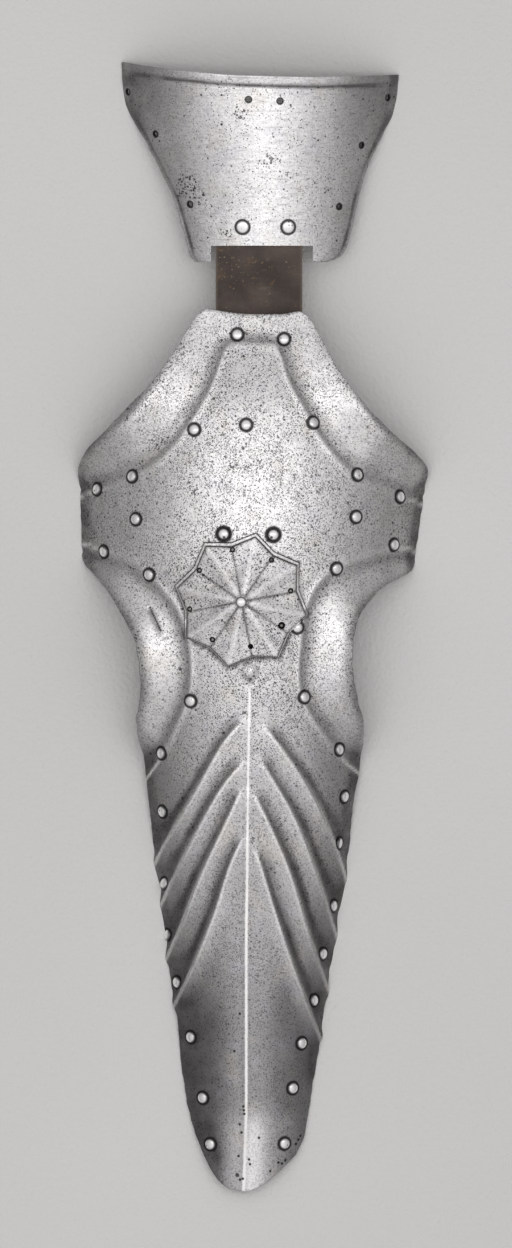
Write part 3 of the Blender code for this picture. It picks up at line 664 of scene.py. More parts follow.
# %% [markdown]
# ## The poll plate
# The poll plate is a gutter of sheet that lies behind the ears. A flat strip could be
# curved by a Simple Deform modifier, but only to one radius, and this gutter widens
# towards its rim, so it is raised from tables as the main plate is. Its upper edge is
# a narrow rim that is turned up only a little, with a groove under it. Parts of its
# side edges are creased in the same way: the two tabs, and the lower corners beside
# the strap.

# %% Face of the poll plate
RIM_WIDTH, RIM_TURN = 4.6, 0.5
RIM_GROOVE, GROOVE_AT = 0.9, 6.4
SIDE_CREASE = Bump(0.55, 2.7, 0.9)


def side_creases(y):
    """1 where the sides of the poll plate are creased."""
    at_tabs = ease(312, 322, y) * (1 - ease(348, 356, y))
    return at_tabs + ease(249, 256, y) * (1 - ease(284, 292, y))


def poll_face(x, y):
    from_top = below_top(POLL_TOP, x, y)
    aside = ease(15, 70, abs(x - 5))
    height = vault(POLL_FORM, x, y) + RIM_TURN * np.clip(1 - from_top / RIM_WIDTH, 0, 1) ** 1.4
    groove = bell(from_top - GROOVE_AT, 1.4 + 1.4 * aside)
    height = height - RIM_GROOVE * (0.55 + 0.45 * aside) * groove
    return height - side_creases(y) * bump(inset_from(POLL_EDGE, x, y), SIDE_CREASE)


def poll_finished(x, y):
    return poll_face(x, y) + hammered(x, y, depth=0.3, size=30.0)


print("height of the poll plate", round(height_at(poll_face, 5, 366), 1), "mm")

# %% [markdown]
# ## Cutting the poll plate
# The lower edge steps back on each side of the strap. A box cuts that wide notch, and
# short cylinders cut the lace holes, which are real holes through the sheet. Faces
# could be left out of the grid instead, but their edges would come out as steps.

# %% Poll plate
LACE_HOLES = (
    Point(-3, 350.5), Point(18, 349.5), Point(-83.5, 357), Point(-65, 328.5),
    Point(-42, 281.5), Point(90, 353), Point(72.5, 321), Point(57.5, 280),
)
LACE_HOLE = 1.7
POLL_COLUMNS, POLL_WEAR, POLL_BEVEL = 140, 0.4, 0.3
CUTTER = Vector((POLL_NOTCH.right - POLL_NOTCH.left, 60, 100))
poll_places = np.concatenate([
    np.linspace(POLL_EDGE[0].along, POLL_BEND_FROM, 76, endpoint=False),
    np.linspace(POLL_BEND_FROM, POLL_EDGE[-1].along, 30),
])
poll_x, poll_y = plan_grid(
    POLL_EDGE, POLL_FORM, poll_places, POLL_COLUMNS, ((POLL_BEND_FROM, POLL_TOP),), POLL_WEAR
)
poll_height = poll_finished(poll_x, poll_y)
poll_plate = grid_sheet("poll_plate_fine", poll_x, poll_y, poll_height, POLL_SHEET)
round_rim(poll_plate, POLL_BEVEL)
trim_at_floor(poll_plate)
drill(poll_plate, [(*outward(poll_face, *place), LACE_HOLE) for place in LACE_HOLES])
middle = ((POLL_NOTCH.left + POLL_NOTCH.right) / 2, POLL_NOTCH.top - CUTTER.y / 2, 40)
bpy.ops.mesh.primitive_cube_add(size=1, location=Vector(middle) * MM)
bpy.context.object.scale = CUTTER * MM
bpy.ops.object.transform_apply(location=False, rotation=False, scale=True)
cut(poll_plate, bpy.context.object)
shade(poll_plate, 50)
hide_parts("poll_plate")
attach(poll_plate, "root")
print("poll plate", triangles(poll_plate), "triangles")

# %% [markdown]
# ## The strap
# One wide strap of thick leather runs under both plates. It lies against the hollow
# of each and passes smoothly from one to the other. It is stiff and short, so it is a
# raised grid like the plates. Its edges are cut square and then worn round, so the
# bevel is wider here than on the steel.

# %% Connecting strap
STRAP_LEFT, STRAP_RIGHT = -25.0, 33.0
STRAP_LOW, STRAP_HIGH = 183.0, 278.0
STRAP_SHEET, STRAP_GAP, STRAP_BEVEL = 3.0, 1.0, 0.5


def strap_face(x, y):
    under_main = vault(MAIN_FORM, x, y) - MAIN_SHEET - STRAP_GAP
    under_poll = vault(POLL_FORM, x, y) - POLL_SHEET - STRAP_GAP
    return under_main + (under_poll - under_main) * ease(211, 252, y)


strap_x, strap_y = np.meshgrid(
    np.linspace(STRAP_LEFT, STRAP_RIGHT, 61), np.linspace(STRAP_LOW, STRAP_HIGH, 97)
)
strap_height = strap_face(strap_x, strap_y) + hammered(strap_x, strap_y, depth=0.25, size=16.0)
strap = grid_sheet("connecting_strap_fine", strap_x, strap_y, strap_height, STRAP_SHEET)
round_rim(strap, STRAP_BEVEL)
shade(strap, 50)
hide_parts("connecting_strap")
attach(strap, "root")
print("strap", triangles(strap), "triangles")

# %% [markdown]
# ## The rosette's form
# The rosette is a star of thin sheet, beaten to a low pyramid: a ridge runs to each
# of its eight points and a valley to each notch between them. Flat faces between
# ridges and valleys would be enough on a level plate, but this star follows the bend
# of the brow. One function gives its radius at any angle and how near that angle is
# to a ridge, and a second gives the height of the folded sheet over the main plate's
# vault.

# %% Form of the rosette
ROSETTE_AT = Point(-7.5, 16.5)
ROSETTE_POINTS, ROSETTE_TURN = 8, math.radians(12)
FOLD_TIP, FOLD_NOTCH = 43.3, 36.5
ROSETTE_RIM, ROSETTE_PEAK, ROSETTE_VALLEY = 4.4, 8.0, 1.6
Fold = namedtuple("Fold", "share rise drop")
FOLDS = (Fold(0.0, 1.0, 0.1), Fold(0.1, 1.0, 0.1), Fold(0.55, 0.55, 1.0), Fold(1.0, 0.0, 0.25))


def about_star(x, y, shift=0.0):
    """Distance from the rosette's middle and angle from its first ridge."""
    dx, dy = x - ROSETTE_AT.x, y - ROSETTE_AT.y - shift
    return np.hypot(dx, dy), np.arctan2(dx, dy) - ROSETTE_TURN


def star_radius(angle, tip, notch):
    """The star's radius at an angle, and 1 on a ridge falling to 0 in a valley."""
    half = math.pi / ROSETTE_POINTS
    turn = np.mod(angle, 2 * half)
    off = np.minimum(turn, 2 * half - turn)
    radius = tip * notch * math.sin(half) / (notch * np.sin(half - off) + tip * np.sin(off))
    return radius, 1 - off / half


def star_face(x, y):
    away, angle = about_star(x, y)
    radius, ridge = star_radius(angle, FOLD_TIP, FOLD_NOTCH)
    share = np.clip(away / radius, 0, 1)
    shares, rises, drops = zip(*FOLDS)
    rise = np.interp(share, shares, rises)
    drop = np.interp(share, shares, drops) * (1 - ridge)
    above = ROSETTE_RIM + (ROSETTE_PEAK - ROSETTE_RIM) * rise - ROSETTE_VALLEY * drop
    return vault(MAIN_FORM, x, y) + above


print("rosette's peak", round(height_at(star_face, *ROSETTE_AT), 1), "mm above the floor")

# %% [markdown]
# ## Folding the rosette
# A low cone with eight sides has the ridges but no valleys. A circle primitive with
# twice as many corners, filled with a fan of triangles, already has the right pattern
# of edges. Its corners are moved to the star's points and notches, it is subdivided,
# and every vertex is raised to the folded form.

# %% Folded star
ROSETTE_CUTS = 27
bpy.ops.mesh.primitive_circle_add(vertices=2 * ROSETTE_POINTS, radius=1, fill_type="TRIFAN")
rosette = bpy.context.object
rosette.name = "rosette_fine"
for vertex in rosette.data.vertices:
    corner = round(math.atan2(vertex.co.x, vertex.co.y) / math.pi * ROSETTE_POINTS)
    away = vertex.co.length * (FOLD_NOTCH if corner % 2 else FOLD_TIP)
    angle = ROSETTE_TURN + corner * math.pi / ROSETTE_POINTS
    vertex.co = (ROSETTE_AT.x + away * math.sin(angle), ROSETTE_AT.y + away * math.cos(angle), 0)
bpy.ops.object.mode_set(mode="EDIT")
bpy.ops.mesh.select_all(action="SELECT")
bpy.ops.mesh.subdivide(number_cuts=ROSETTE_CUTS)
bpy.ops.object.mode_set(mode="OBJECT")
for vertex in rosette.data.vertices:
    vertex.co.z = height_at(star_face, vertex.co.x, vertex.co.y)
    vertex.co *= MM
print("folded star", triangles(rosette), "triangles")

# %% [markdown]
# ## The rosette's rim
# On the real rosette the rim is the star's own sheet, turned down all round. So it is
# extruded from the star's boundary, and isn't a curve laid round it. There are five
# steps: a bend, two edges of a narrow flange, a second bend and the fall to the main
# plate. Each step also stores whether it gets painted shade or a painted highlight. Over
# the rivet that the rosette partly covers, the rim rides on its head.

# %% Turned rim
Rim = namedtuple("Rim", "tip notch shift above shade")
RIMS = (
    Rim(43.9, 37.1, 0.1, 2.4, 1.0),
    Rim(44.2, 37.4, 0.4, 2.0, -1.0),
    Rim(45.1, 38.3, 1.0, 1.8, -1.0),
    Rim(45.4, 38.5, 1.1, 1.5, 1.0),
    Rim(45.8, 38.8, 1.2, 0.9, 1.0),
)
ROSETTE_SHEET = 1.1
COVERED_RIVET = sum(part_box("right_rivet_5"), Vector()) / 2 / MM
COVERED_REACH, LEAST_FALL = 5.4, 0.2


def turn_down(rim):
    """Extrudes the rosette's boundary and lays it on a larger star, a little over the plate."""
    bpy.ops.object.mode_set(mode="EDIT")
    bpy.ops.mesh.select_all(action="SELECT")
    bpy.ops.mesh.region_to_loop()
    bpy.ops.mesh.extrude_edges_move()
    bpy.ops.object.mode_set(mode="OBJECT")
    shades = rosette.data.attributes["rim_shade_and_highlight"].data
    for vertex in rosette.data.vertices:
        if not vertex.select:
            continue
        angle = math.atan2(vertex.co.x / MM - ROSETTE_AT.x, vertex.co.y / MM - ROSETTE_AT.y)
        away = float(star_radius(angle - ROSETTE_TURN, rim.tip, rim.notch)[0])
        x = ROSETTE_AT.x + away * math.sin(angle)
        y = ROSETTE_AT.y + rim.shift + away * math.cos(angle)
        foot = height_at(main_face, x, y) + rim.above
        if distance(COVERED_RIVET, x, y) < COVERED_REACH:
            foot = max(foot, vertex.co.z / MM - LEAST_FALL)
        vertex.co = Vector((x, y, foot)) * MM
        # Each ring stores 1 for painted shade and -1 for a painted highlight.
        shades[vertex.index].value = rim.shade


rosette.data.attributes.new("rim_shade_and_highlight", "FLOAT", "POINT")
for rim in RIMS:
    turn_down(rim)
if sum(face.normal.z for face in rosette.data.polygons) < 0:
    rosette.data.flip_normals()
apply_modifier(rosette, "SOLIDIFY", thickness=ROSETTE_SHEET * MM, offset=-1)
print("rosette", triangles(rosette), "triangles")

# %% [markdown]
# ## Seats for the rivets
# Every rivet's place comes from the frame. A rivet stands square to its plate, so a
# line through its middle along the plate's outward direction meets the face at its
# seat. A Shrinkwrap modifier could drop a rivet on the sheet too, but it would bend
# the head to it. So the whole head is lifted by the mean height of the face round it,
# as a real head bridges the small hollows under it.

# %% Finding each rivet's seat
SPOKES, SPOKE_SHARE = 12, 0.8


def seat(name, under, top, head):
    """The point under a head's middle and its axis: under gives the tilt and top the height."""
    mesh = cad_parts[name].data
    centre = Vector(np.unique([tuple(v.co) for v in mesh.vertices], axis=0).mean(axis=0)) / MM
    x, y = centre.x, centre.y
    for _ in range(6):
        point, axis = outward(under, x, y)
        off = (centre.z - point.z) / axis.z
        x, y = centre.x - axis.x * off, centre.y - axis.y * off
    spoke = axis.orthogonal().normalized() * head * SPOKE_SHARE
    turns = [Matrix.Rotation(2 * math.pi * k / SPOKES, 3, axis) for k in range(SPOKES)]
    ring = np.array([centre + turn @ spoke for turn in turns])
    lift = np.zeros(SPOKES)
    for _ in range(4):
        at = ring + lift[:, None] * np.array(axis)
        lift -= (at[:, 2] - top(at[:, 0], at[:, 1])) * axis.z
    return centre + axis * float(lift.mean()), axis


def rivet_names(*starts):
    return sorted(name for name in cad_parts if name.startswith(starts))


print("seats to find", len(rivet_names("brow", "left", "right", "strap_rivet", "poll_rivet")))

# %% [markdown]
# ## Holes in the rosette
# Small nails hold the rosette by its valleys. Their holes are wider than their heads,
# one of them much wider, and an eighth hole has lost its nail.

# %% Holes of the rosette's nails
NAIL_HOLE, NAIL_HEAD, LOST_HOLE = 1.9, 1.1, 1.8
WIDE_HOLES = {"rosette_nail_3": 2.5}
LOST_NAIL = Point(-1.6, -13.2)
nail_names = rivet_names("rosette_nail")
holes = []
for name in nail_names:
    holes.append((*seat(name, main_face, star_face, NAIL_HEAD), WIDE_HOLES.get(name, NAIL_HOLE)))
holes.append((*outward(star_face, *LOST_NAIL), LOST_HOLE))
drill(rosette, holes)
shade(rosette, 12)
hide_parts("rosette")
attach(rosette, "root")
print("nails", len(nail_names), "rosette now", triangles(rosette), "triangles")

# %% [markdown]
# ## Values on vertices
# A number stored on each vertex can steer a material later. These helpers read where
# a mesh's vertices lie in plan, tell which of them face down, on the inner side of a
# sheet, and store the numbers as attributes. The same could be brushed on in Vertex
# Paint, but a number that is worked out follows the shape when the shape changes.

# %% Values stored on vertices
def plan_of(obj):
    places = on_vertices(obj, "co").astype(float) / MM
    return places[:, 0], places[:, 1]


# Faces that face down, on the inner side, are painted dark later, as shade.
def facing_down(obj):
    return (on_vertices(obj, "normal")[:, 2] < -0.05).astype(float)


def paint(obj, name, values):
    layer = obj.data.attributes.new(name, "FLOAT", "POINT")
    layer.data.foreach_set("value", np.clip(values, 0, 1).astype(np.float32))


print("inner side of the main plate:", round(100 * facing_down(main_plate).mean()), "% of it")

# %% [markdown]
# ## Rivets and nails
# A rivet's head is a low dome with an edge that is turned under, and its shank ends in
# a button that was spread with a hammer inside the plate. Half a sphere on a cylinder
# would be quicker but has no such edge, so a profile is drawn as a chain of vertices
# and spun round its axis. The outer ring of the head is marked, so that the material
# can paint shade where the dome turns away. Each of the five sizes is modelled once.

# %% Rivet maker
Rivet = namedtuple("Rivet", "head rise shank depth sides")
PLAIN = Rivet(3.85, 1.9, 1.9, MAIN_SHEET + 0.4, 28)
STRAPPED = PLAIN._replace(depth=MAIN_SHEET + STRAP_SHEET + 2.4)
FLAT = Rivet(4.5, 0.7, 1.9, POLL_SHEET + STRAP_SHEET + 1.4, 32)
BOSS = Rivet(3.7, 2.0, 1.9, ROSETTE_PEAK + 2.0, 28)
NAIL = Rivet(NAIL_HEAD, 0.35, 0.9, ROSETTE_RIM + 2.6, 16)
DOME_STEPS, DOME_FULLNESS = 9, 0.85


def spun_piece(name, profile, sides):
    """A round piece from (radius, height) points in millimetres, by spinning them."""
    mesh = bpy.data.meshes.new(name)
    points = [(radius * MM, 0, height * MM) for radius, height in profile]
    mesh.from_pydata(points, [(k, k + 1) for k in range(len(points) - 1)], [])
    obj = bpy.data.objects.new(name, mesh)
    bpy.context.scene.collection.objects.link(obj)
    pick(obj)
    bpy.ops.object.mode_set(mode="EDIT")
    bpy.ops.mesh.select_all(action="SELECT")
    bpy.ops.mesh.spin(steps=sides, angle=2 * math.pi, center=(0, 0, 0), axis=(0, 0, 1))
    bpy.ops.mesh.select_all(action="SELECT")
    bpy.ops.mesh.remove_doubles(threshold=1e-6)
    bpy.ops.mesh.normals_make_consistent(inside=False)
    bpy.ops.object.mode_set(mode="OBJECT")
    return obj


def rivet_profile(size):
    """(radius, height) from the top of the head down to the spread end of the shank."""
    head, shank, depth = size.head, size.shank, size.depth
    turns = np.linspace(0, math.pi / 2, DOME_STEPS)
    dome = [(head * math.sin(t), size.rise * math.cos(t) ** DOME_FULLNESS) for t in turns]
    spread = shank * 1.5
    under = [(head * 0.96, -0.25), (shank, -0.3), (shank, -depth), (spread, -depth - 0.2)]
    button = [(spread * 0.86, -depth - shank * 0.45), (spread * 0.45, -depth - shank * 0.62)]
    return dome + under + button + [(0, -depth - shank * 0.66)]


def rivet_model(name, size):
    """One rivet of a size at the world's middle, with the outer ring of its head marked."""
    made = spun_piece(name, rivet_profile(size), size.sides)
    shade(made, 40)
    x, y = plan_of(made)
    # The ring where the material paints shade on the dome's edge.
    paint(made, "rim", ease(0.66, 0.95, np.hypot(x, y) / size.head))
    return made


print("a rivet's profile has", len(rivet_profile(PLAIN)), "points")

# %% [markdown]
# ## Setting a rivet
# Every copy gets its own mesh, because a piece's place lies in its mesh. It is turned
# to the plate's outward direction, and a little round its own axis too, so that no
# two heads look the same.

# %% Setting rivets
TURN_EACH = 0.7


def place_copy(model, name, point, axis, spin):
    copy = bpy.data.objects.new(name, model.data.copy())
    bpy.context.scene.collection.objects.link(copy)
    turn = axis.to_track_quat("Z", "Y").to_matrix().to_4x4() @ Matrix.Rotation(spin, 4, "Z")
    copy.data.transform(Matrix.Translation(point * MM) @ turn)
    return copy


def fit_rivets(model, size, names, under, top):
    """Copies of a model on the seats of these nodes, and where each stands."""
    made = {}
    for count, name in enumerate(names):
        point, axis = seat(name, under, top, size.head)
        copy = place_copy(model, name + "_fine", point, axis, count * TURN_EACH)
        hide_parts(name)
        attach(copy, "root")
        made[name] = (copy, point)
    bpy.data.objects.remove(model, do_unlink=True)
    return made


print("each copy is turned", round(math.degrees(TURN_EACH)), "degrees more than the last")

# %% [markdown]
# ## The five sizes
# Plain rivets held the lining, and two longer ones also hold the strap. The poll
# plate's are broad and flat. The rosette has one boss at its middle and small nails.

# %% Rivets on the plates
plain, strapped = rivet_model("plain_rivet", PLAIN), rivet_model("strapped_rivet", STRAPPED)
flat, boss = rivet_model("flat_rivet", FLAT), rivet_model("boss_rivet", BOSS)
nail = rivet_model("nail", NAIL)
plate_names = rivet_names("brow_rivet", "left_rivet", "right_rivet")
rivets = fit_rivets(plain, PLAIN, plate_names, main_face, main_finished)
rivets.update(fit_rivets(strapped, STRAPPED, rivet_names("strap_rivet"), main_face, main_finished))
poll_rivets = fit_rivets(flat, FLAT, rivet_names("poll_rivet"), poll_face, poll_finished)
boss_rivet = fit_rivets(boss, BOSS, ["rosette_boss"], main_face, star_face)
nails = fit_rivets(nail, NAIL, nail_names, main_face, star_face)
print("rivets", len(rivets) + len(poll_rivets) + len(boss_rivet), "nails", len(nails))

# %% [markdown]
# ## Where shade and highlights are painted
# Shade is painted into the hollows and highlights onto the crests. The Pointiness
# of a vertex would find both, but only as sharply as the mesh is fine, so they are
# worked out from the same creases and flutes as the shape. The painted shade and the
# painted highlights are added up over the next cells and stored on the vertices at the end.

# %% Creases, flutes and keel
x, y = plan_of(main_plate)
# The first value is painted shade, the second painted highlight.
grime, crest = np.zeros_like(x), np.zeros_like(x)
# Painted shade in the groove outside each crease; painted highlights on its lip and along the
# middle of each guard's roll.
for out in creases(x, y):
    grime += 0.5 * bell(out - 4.5, 3.5)
    crest += 1.2 * bell(out + 1.5, 1.0) + 0.5 * bell(out - 19, 10)
# Painted shade in each flute's valley; painted highlights on its crest and down its inner fall.
for out, strength in flute_places(x, y):
    inside_fall = (out < 0) * (1 - ease(1, 11, -out))
    grime += 1.1 * bell(out - 4.2, 3.4) * strength
    crest += (2.3 * bell(out + 0.6, 0.85) + 0.5 * inside_fall) * strength
off_keel = off_ridge(x, y)
on_keel = ease(0, 10, KEEL_FROM - y)
# A painted highlight along the keel and on its knob; painted shade in the dent, round the knob and
# along the guard's scar.
crest += 1.2 * bell(off_keel, 0.9) * on_keel + 0.8 * bell(distance(KEEL_STOP, x, y), 2.2)
grime += 0.9 * bell(distance(STOP_DENT_AT, x, y), STOP_DENT.spread)
grime += 0.5 * bell(distance(KEEL_STOP, x, y) - 5, 1.5)
grime += 1.6 * guard_scar(x, y, 1.15)
print("along the lines: mean grime", round(float(grime.mean()), 3))

# %% [markdown]
# ## Edges, brow and nose
# Painted shade comes in from the edges, where the sheet turns away, most of all beside
# the flutes. A painted highlight lies on the right of the brow. On the nose the flanks
# get painted shade, the left one more, and the tip a painted highlight beside the keel.

# %% Edges, brow and nose
BROW_HIGHLIGHT, HIGHLIGHT_REACH = Point(10, 95), 50
inset = inset_from(MAIN_EDGE, x, y)
at_tip = ease(315, 338, -y)
# Painted shade near the edges, where the sheet turns away, less of it on the right of the tip.
edge_reach = 20 - 11 * ease(-90, -60, y)
edge_grime = 0.9 * (1 - ease(0, edge_reach, inset)) * (1 - 0.5 * ease(100, 150, y))
edge_grime += 0.8 * (1 - ease(0, 9, inset)) * ease(60, 140, -y)
grime += edge_grime * (1 - 0.8 * ease(280, 320, -y) * ease(0, 15, x))
# Painted shade on the nose's flanks, more on the left.
flank_shade = 0.86 * ease(0, 28, -off_keel) * (1 - at_tip) + 0.68 * ease(8, 22, -off_keel) * at_tip
flank_shade += 0.5 * bell(off_keel - 26, 11) * (1 - at_tip)
grime += flank_shade * ease(205, 270, -y)
# Painted highlights on the brow and beside the keel at the tip.
crest += 0.35 * bell(np.hypot((x - BROW_HIGHLIGHT.x) / 1.2, y - BROW_HIGHLIGHT.y), HIGHLIGHT_REACH)
crest += at_tip * np.where(off_keel > 0, bell(off_keel - 5, 10), 0.5 * bell(off_keel, 12))
# Painted shadow along the top edge where the strap passes under it, and painted shade on the far
# wings.
from_top = below_top(MAIN_TOP, x, y)
grime += 0.75 * (1 - ease(0.6, 2.6, from_top)) * (abs(x) < 30) + 0.6 * ease(92, 112, abs(x))
print("with edges and nose: mean grime", round(float(grime.mean()), 3))

# %% [markdown]
# ## Round the rosette, and the main plate's values
# Dirt and a painted shadow line the rosette's foot, and the plate under it is painted
# black as shade. `keel_line` falls evenly from the ridge, so that the material can draw
# a sharp painted highlight from it, and the last value is painted shade that darkens
# the plate towards the nose.

# %% Values of the main plate
from_star, _ = about_star(x, y)
_, angle = about_star(x, y, RIMS[-1].shift)
from_rim = from_star - star_radius(angle, RIMS[-1].tip, RIMS[-1].notch)[0]
# Dirt and painted shadow round the rosette's foot.
grime += 0.9 * (1 - ease(0.3, 1.7, from_rim))
keel_line = np.clip(1 - abs(off_keel) / 3, 0, 1) * on_keel * (0.9 + 0.1 * ease(110, 170, -y))
# A painted highlight right of the keel at the tip, which lessens the nose's painted shade there.
tip_highlight = 0.35 * at_tip * (off_keel > 0) * bell(off_keel - 5, 9)
# The plate under the rosette is painted black as shade.
paint(main_plate, "soot", 1 - ease(33, 37, from_star))
paint(main_plate, "grime", grime * (1 - np.clip(crest, 0, 0.9)))
paint(main_plate, "crest", crest)
# The inner side, which faces down, is painted dark as shade.
paint(main_plate, "inside", facing_down(main_plate))
paint(main_plate, "keel_line", keel_line)
# Painted shade that darkens the plate towards the nose.
paint(main_plate, "tarnish", 0.80 * (1 - ease(-290, 60, y)) - tip_highlight)
print("main plate: mean grime", round(float(np.clip(grime, 0, 1).mean()), 3))

# %% [markdown]
# ## The same on the poll plate
# Painted shade lies in the groove under the rim, along its creased sides, near its edges
# and in its upper corners. Painted highlights lie on the rim, on the creased edges and
# down the middle of the gutter.

# %% Values of the poll plate
x, y = plan_of(poll_plate)
from_top, inset, creased = below_top(POLL_TOP, x, y), inset_from(POLL_EDGE, x, y), side_creases(y)
# Painted shade in the groove, along the creased sides, near the edges and in the upper corners.
grime = 1.3 * bell(from_top - GROOVE_AT, 1.0)
grime += (0.4 + 0.9 * creased) * bell(inset - SIDE_CREASE.at, SIDE_CREASE.spread)
grime += 0.4 * (1 - ease(2, 14, inset)) + 0.75 * ease(38, 82, abs(x - 6)) * ease(295, 365, y)
# Painted highlights on the rim, on the creased edges and in a band down the middle.
crest = 1 - ease(2.5, 4.5, from_top) + 0.6 * bell(inset - 0.6, 0.8) * creased
crest += 0.4 * bell(x - 9, 13)
paint(poll_plate, "grime", grime)
paint(poll_plate, "crest", crest)
# The inner side, which faces down, is painted dark as shade.
paint(poll_plate, "inside", facing_down(poll_plate))
print("poll plate: mean grime", round(float(np.clip(grime, 0, 1).mean()), 3))

# %% [markdown]
# ## The same on the rosette
# The valleys, the foot of the boss, the folds' edge and the bends of the rim get painted
# shade, and the ridges and the rim's flange painted highlights. The folds come from the
# star's own functions again, and the rim's marks from the numbers that were stored when
# it was extruded.

# %% Values of the rosette
x, y = plan_of(rosette)
away, angle = about_star(x, y)
radius, ridge = star_radius(angle, FOLD_TIP, FOLD_NOTCH)
half_point = math.pi / ROSETTE_POINTS
from_ridge, from_valley = (1 - ridge) * half_point * away, ridge * half_point * away
on_folds = radius > away
rim_shade_and_highlight = np.empty(len(x), np.float32)
rosette.data.attributes["rim_shade_and_highlight"].data.foreach_get("value", rim_shade_and_highlight)
# Painted shade in the valleys, along the folds' edge and round the boss's foot.
grime = 0.9 * bell(from_valley, 0.8) * on_folds + 0.7 * bell(radius - away, 0.4)
grime += 0.9 * bell(away - 4.6, 0.8)
# Painted highlights on the ridges and on the rim's flange.
crest = 2.4 * bell(from_ridge, 1.15) * on_folds + 0.9 * np.clip(-rim_shade_and_highlight, 0, 1)
paint(rosette, "grime", grime + np.clip(rim_shade_and_highlight, 0, 1))
paint(rosette, "crest", crest)
# The inner side, which faces down, is painted dark as shade.
paint(rosette, "inside", facing_down(rosette))
print("rosette: mean grime", round(float(np.clip(grime, 0, 1).mean()), 3))

# %% [markdown]
# ## Building a finish from nodes
# Each finish is a tree of nodes that reads Object coordinates, so the pattern is fixed
# to the steel at its real size. Such a tree can be wired by hand in the shader editor,
# but three steels that share most of it are easier to keep alike in code. The helper
# below turns metres into millimetres once, and then gives short calls for clouds of
# noise, for pits, for the stored values and for mixing them.

# %% Node helper
class Finish:
    """The node tree of one material, with sizes in millimetres."""

    def __init__(self, name):
        self.material = bpy.data.materials.new(name)
        self.material.use_nodes = True
        self.tree = self.material.node_tree
        self.shader = self.tree.nodes["Principled BSDF"]
        self.place = self.scaled(self.put("ShaderNodeTexCoord").outputs["Object"], 1 / MM)

    def put(self, kind, inputs=None, **settings):
        made = self.tree.nodes.new(kind)
        for key, value in settings.items():
            setattr(made, key, value)
        for key, value in (inputs or {}).items():
            if isinstance(value, bpy.types.NodeSocket):
                self.tree.links.new(value, made.inputs[key])
            else:
                made.inputs[key].default_value = value
        return made

    def scaled(self, vector, factor):
        made = self.put("ShaderNodeVectorMath", {0: vector, 3: factor}, operation="SCALE")
        return made.outputs[0]

    def sum(self, operation, first, second=0.0):
        return self.put("ShaderNodeMath", {0: first, 1: second}, operation=operation).outputs[0]

    def step(self, value, low, high, start=0.0, end=1.0):
        inputs = {"Value": value, "From Min": low, "From Max": high, "To Min": start, "To Max": end}
        return self.put("ShaderNodeMapRange", inputs, interpolation_type="SMOOTHSTEP").outputs[0]

    def cloud(self, size, detail=3.0, stretch=None, seed=0.0):
        at = self.place
        if stretch:
            at = self.put("ShaderNodeMapping", {"Vector": at, "Scale": stretch}).outputs[0]
        inputs = {"Vector": at, "Scale": 1 / size, "Detail": detail, "W": seed}
        return self.put("ShaderNodeTexNoise", inputs, noise_dimensions="4D").outputs[0]

    def pits(self, spacing, radius, share):
        """1 in small uneven pits: share, a number or a socket, is how much of them is there."""
        inputs = {"Vector": self.place, "Scale": 1 / radius, "Detail": 1.0}
        wobble = self.put("ShaderNodeTexNoise", inputs).outputs["Color"]
        moved = {0: self.place, 1: self.scaled(wobble, radius)}
        place = self.put("ShaderNodeVectorMath", moved, operation="ADD")
        inputs = {"Vector": place.outputs[0], "Scale": 1 / spacing, "Randomness": 1.0}
        cells = self.put("ShaderNodeTexVoronoi", inputs)
        chance = self.put("ShaderNodeSeparateColor", {"Color": cells.outputs["Color"]}).outputs
        size = self.sum("MULTIPLY", self.sum("ADD", chance[1], 0.5), radius / spacing)
        depth = self.step(self.sum("DIVIDE", cells.outputs["Distance"], size), 0.55, 1.25, 1.0, 0.0)
        return self.sum("MULTIPLY", depth, self.sum("LESS_THAN", chance[0], share))

    def from_vertices(self, name):
        return self.put("ShaderNodeAttribute", attribute_name=name).outputs["Fac"]

    def mix(self, share, first, second):
        made = self.put("ShaderNodeMix", data_type="RGBA")
        sockets = (made.inputs[0], made.inputs[6], made.inputs[7])
        for socket, value in zip(sockets, (share, first, second)):
            if isinstance(value, bpy.types.NodeSocket):
                self.tree.links.new(value, socket)
            else:
                socket.default_value = value if isinstance(value, float) else (*value, 1)
        return made.outputs[2]

    def nearest(self, points):
        """Distance to the nearest of these points."""
        found = None
        for point in points:
            inputs = {0: self.place, 1: tuple(point)}
            apart = self.put("ShaderNodeVectorMath", inputs, operation="DISTANCE").outputs["Value"]
            found = apart if found is None else self.sum("MINIMUM", found, apart)
        return found

    def finish(self, colour, roughness, relief, metallic=1.0):
        """relief is the surface's height in millimetres."""
        raised = self.put("ShaderNodeBump", {"Height": relief, "Strength": 1.0, "Distance": MM})
        inputs = {"Base Color": colour, "Roughness": roughness, "Normal": raised.outputs[0]}
        for name, socket in inputs.items():
            self.tree.links.new(socket, self.shader.inputs[name])
        self.shader.inputs["Metallic"].default_value = metallic
        return self.material


print("a finish can be built from", [name for name in vars(Finish) if not name.startswith("_")])

# %% [markdown]
# ## Old steel
# Steel of this age is not one grey. It was polished over a layer of fine rust pits,
# so the pits stay as dark specks in bright metal, thicker in some places than in
# others. Broad clouds of bluish and brownish grey lie over it, and dirt with a painted
# shadow sits round each rivet. Colour, roughness and relief all read the same pits, so
# that a speck is dark, dull and sunk at once.

# %% Colour of the steel
BRIGHT, DULL = (0.92, 0.915, 0.905), (0.38, 0.375, 0.375)
WARM, COLD = (0.70, 0.645, 0.58), (0.60, 0.585, 0.67)
# Near black for pits, rings and painted shade, and a dark grey for the painted shade and grime
# stored on the vertices.
SOOT_AND_SHADE, GRIT = (0.03, 0.028, 0.028), (0.20, 0.19, 0.195)
GRIME_AND_SHADE = (0.085, 0.08, 0.078)


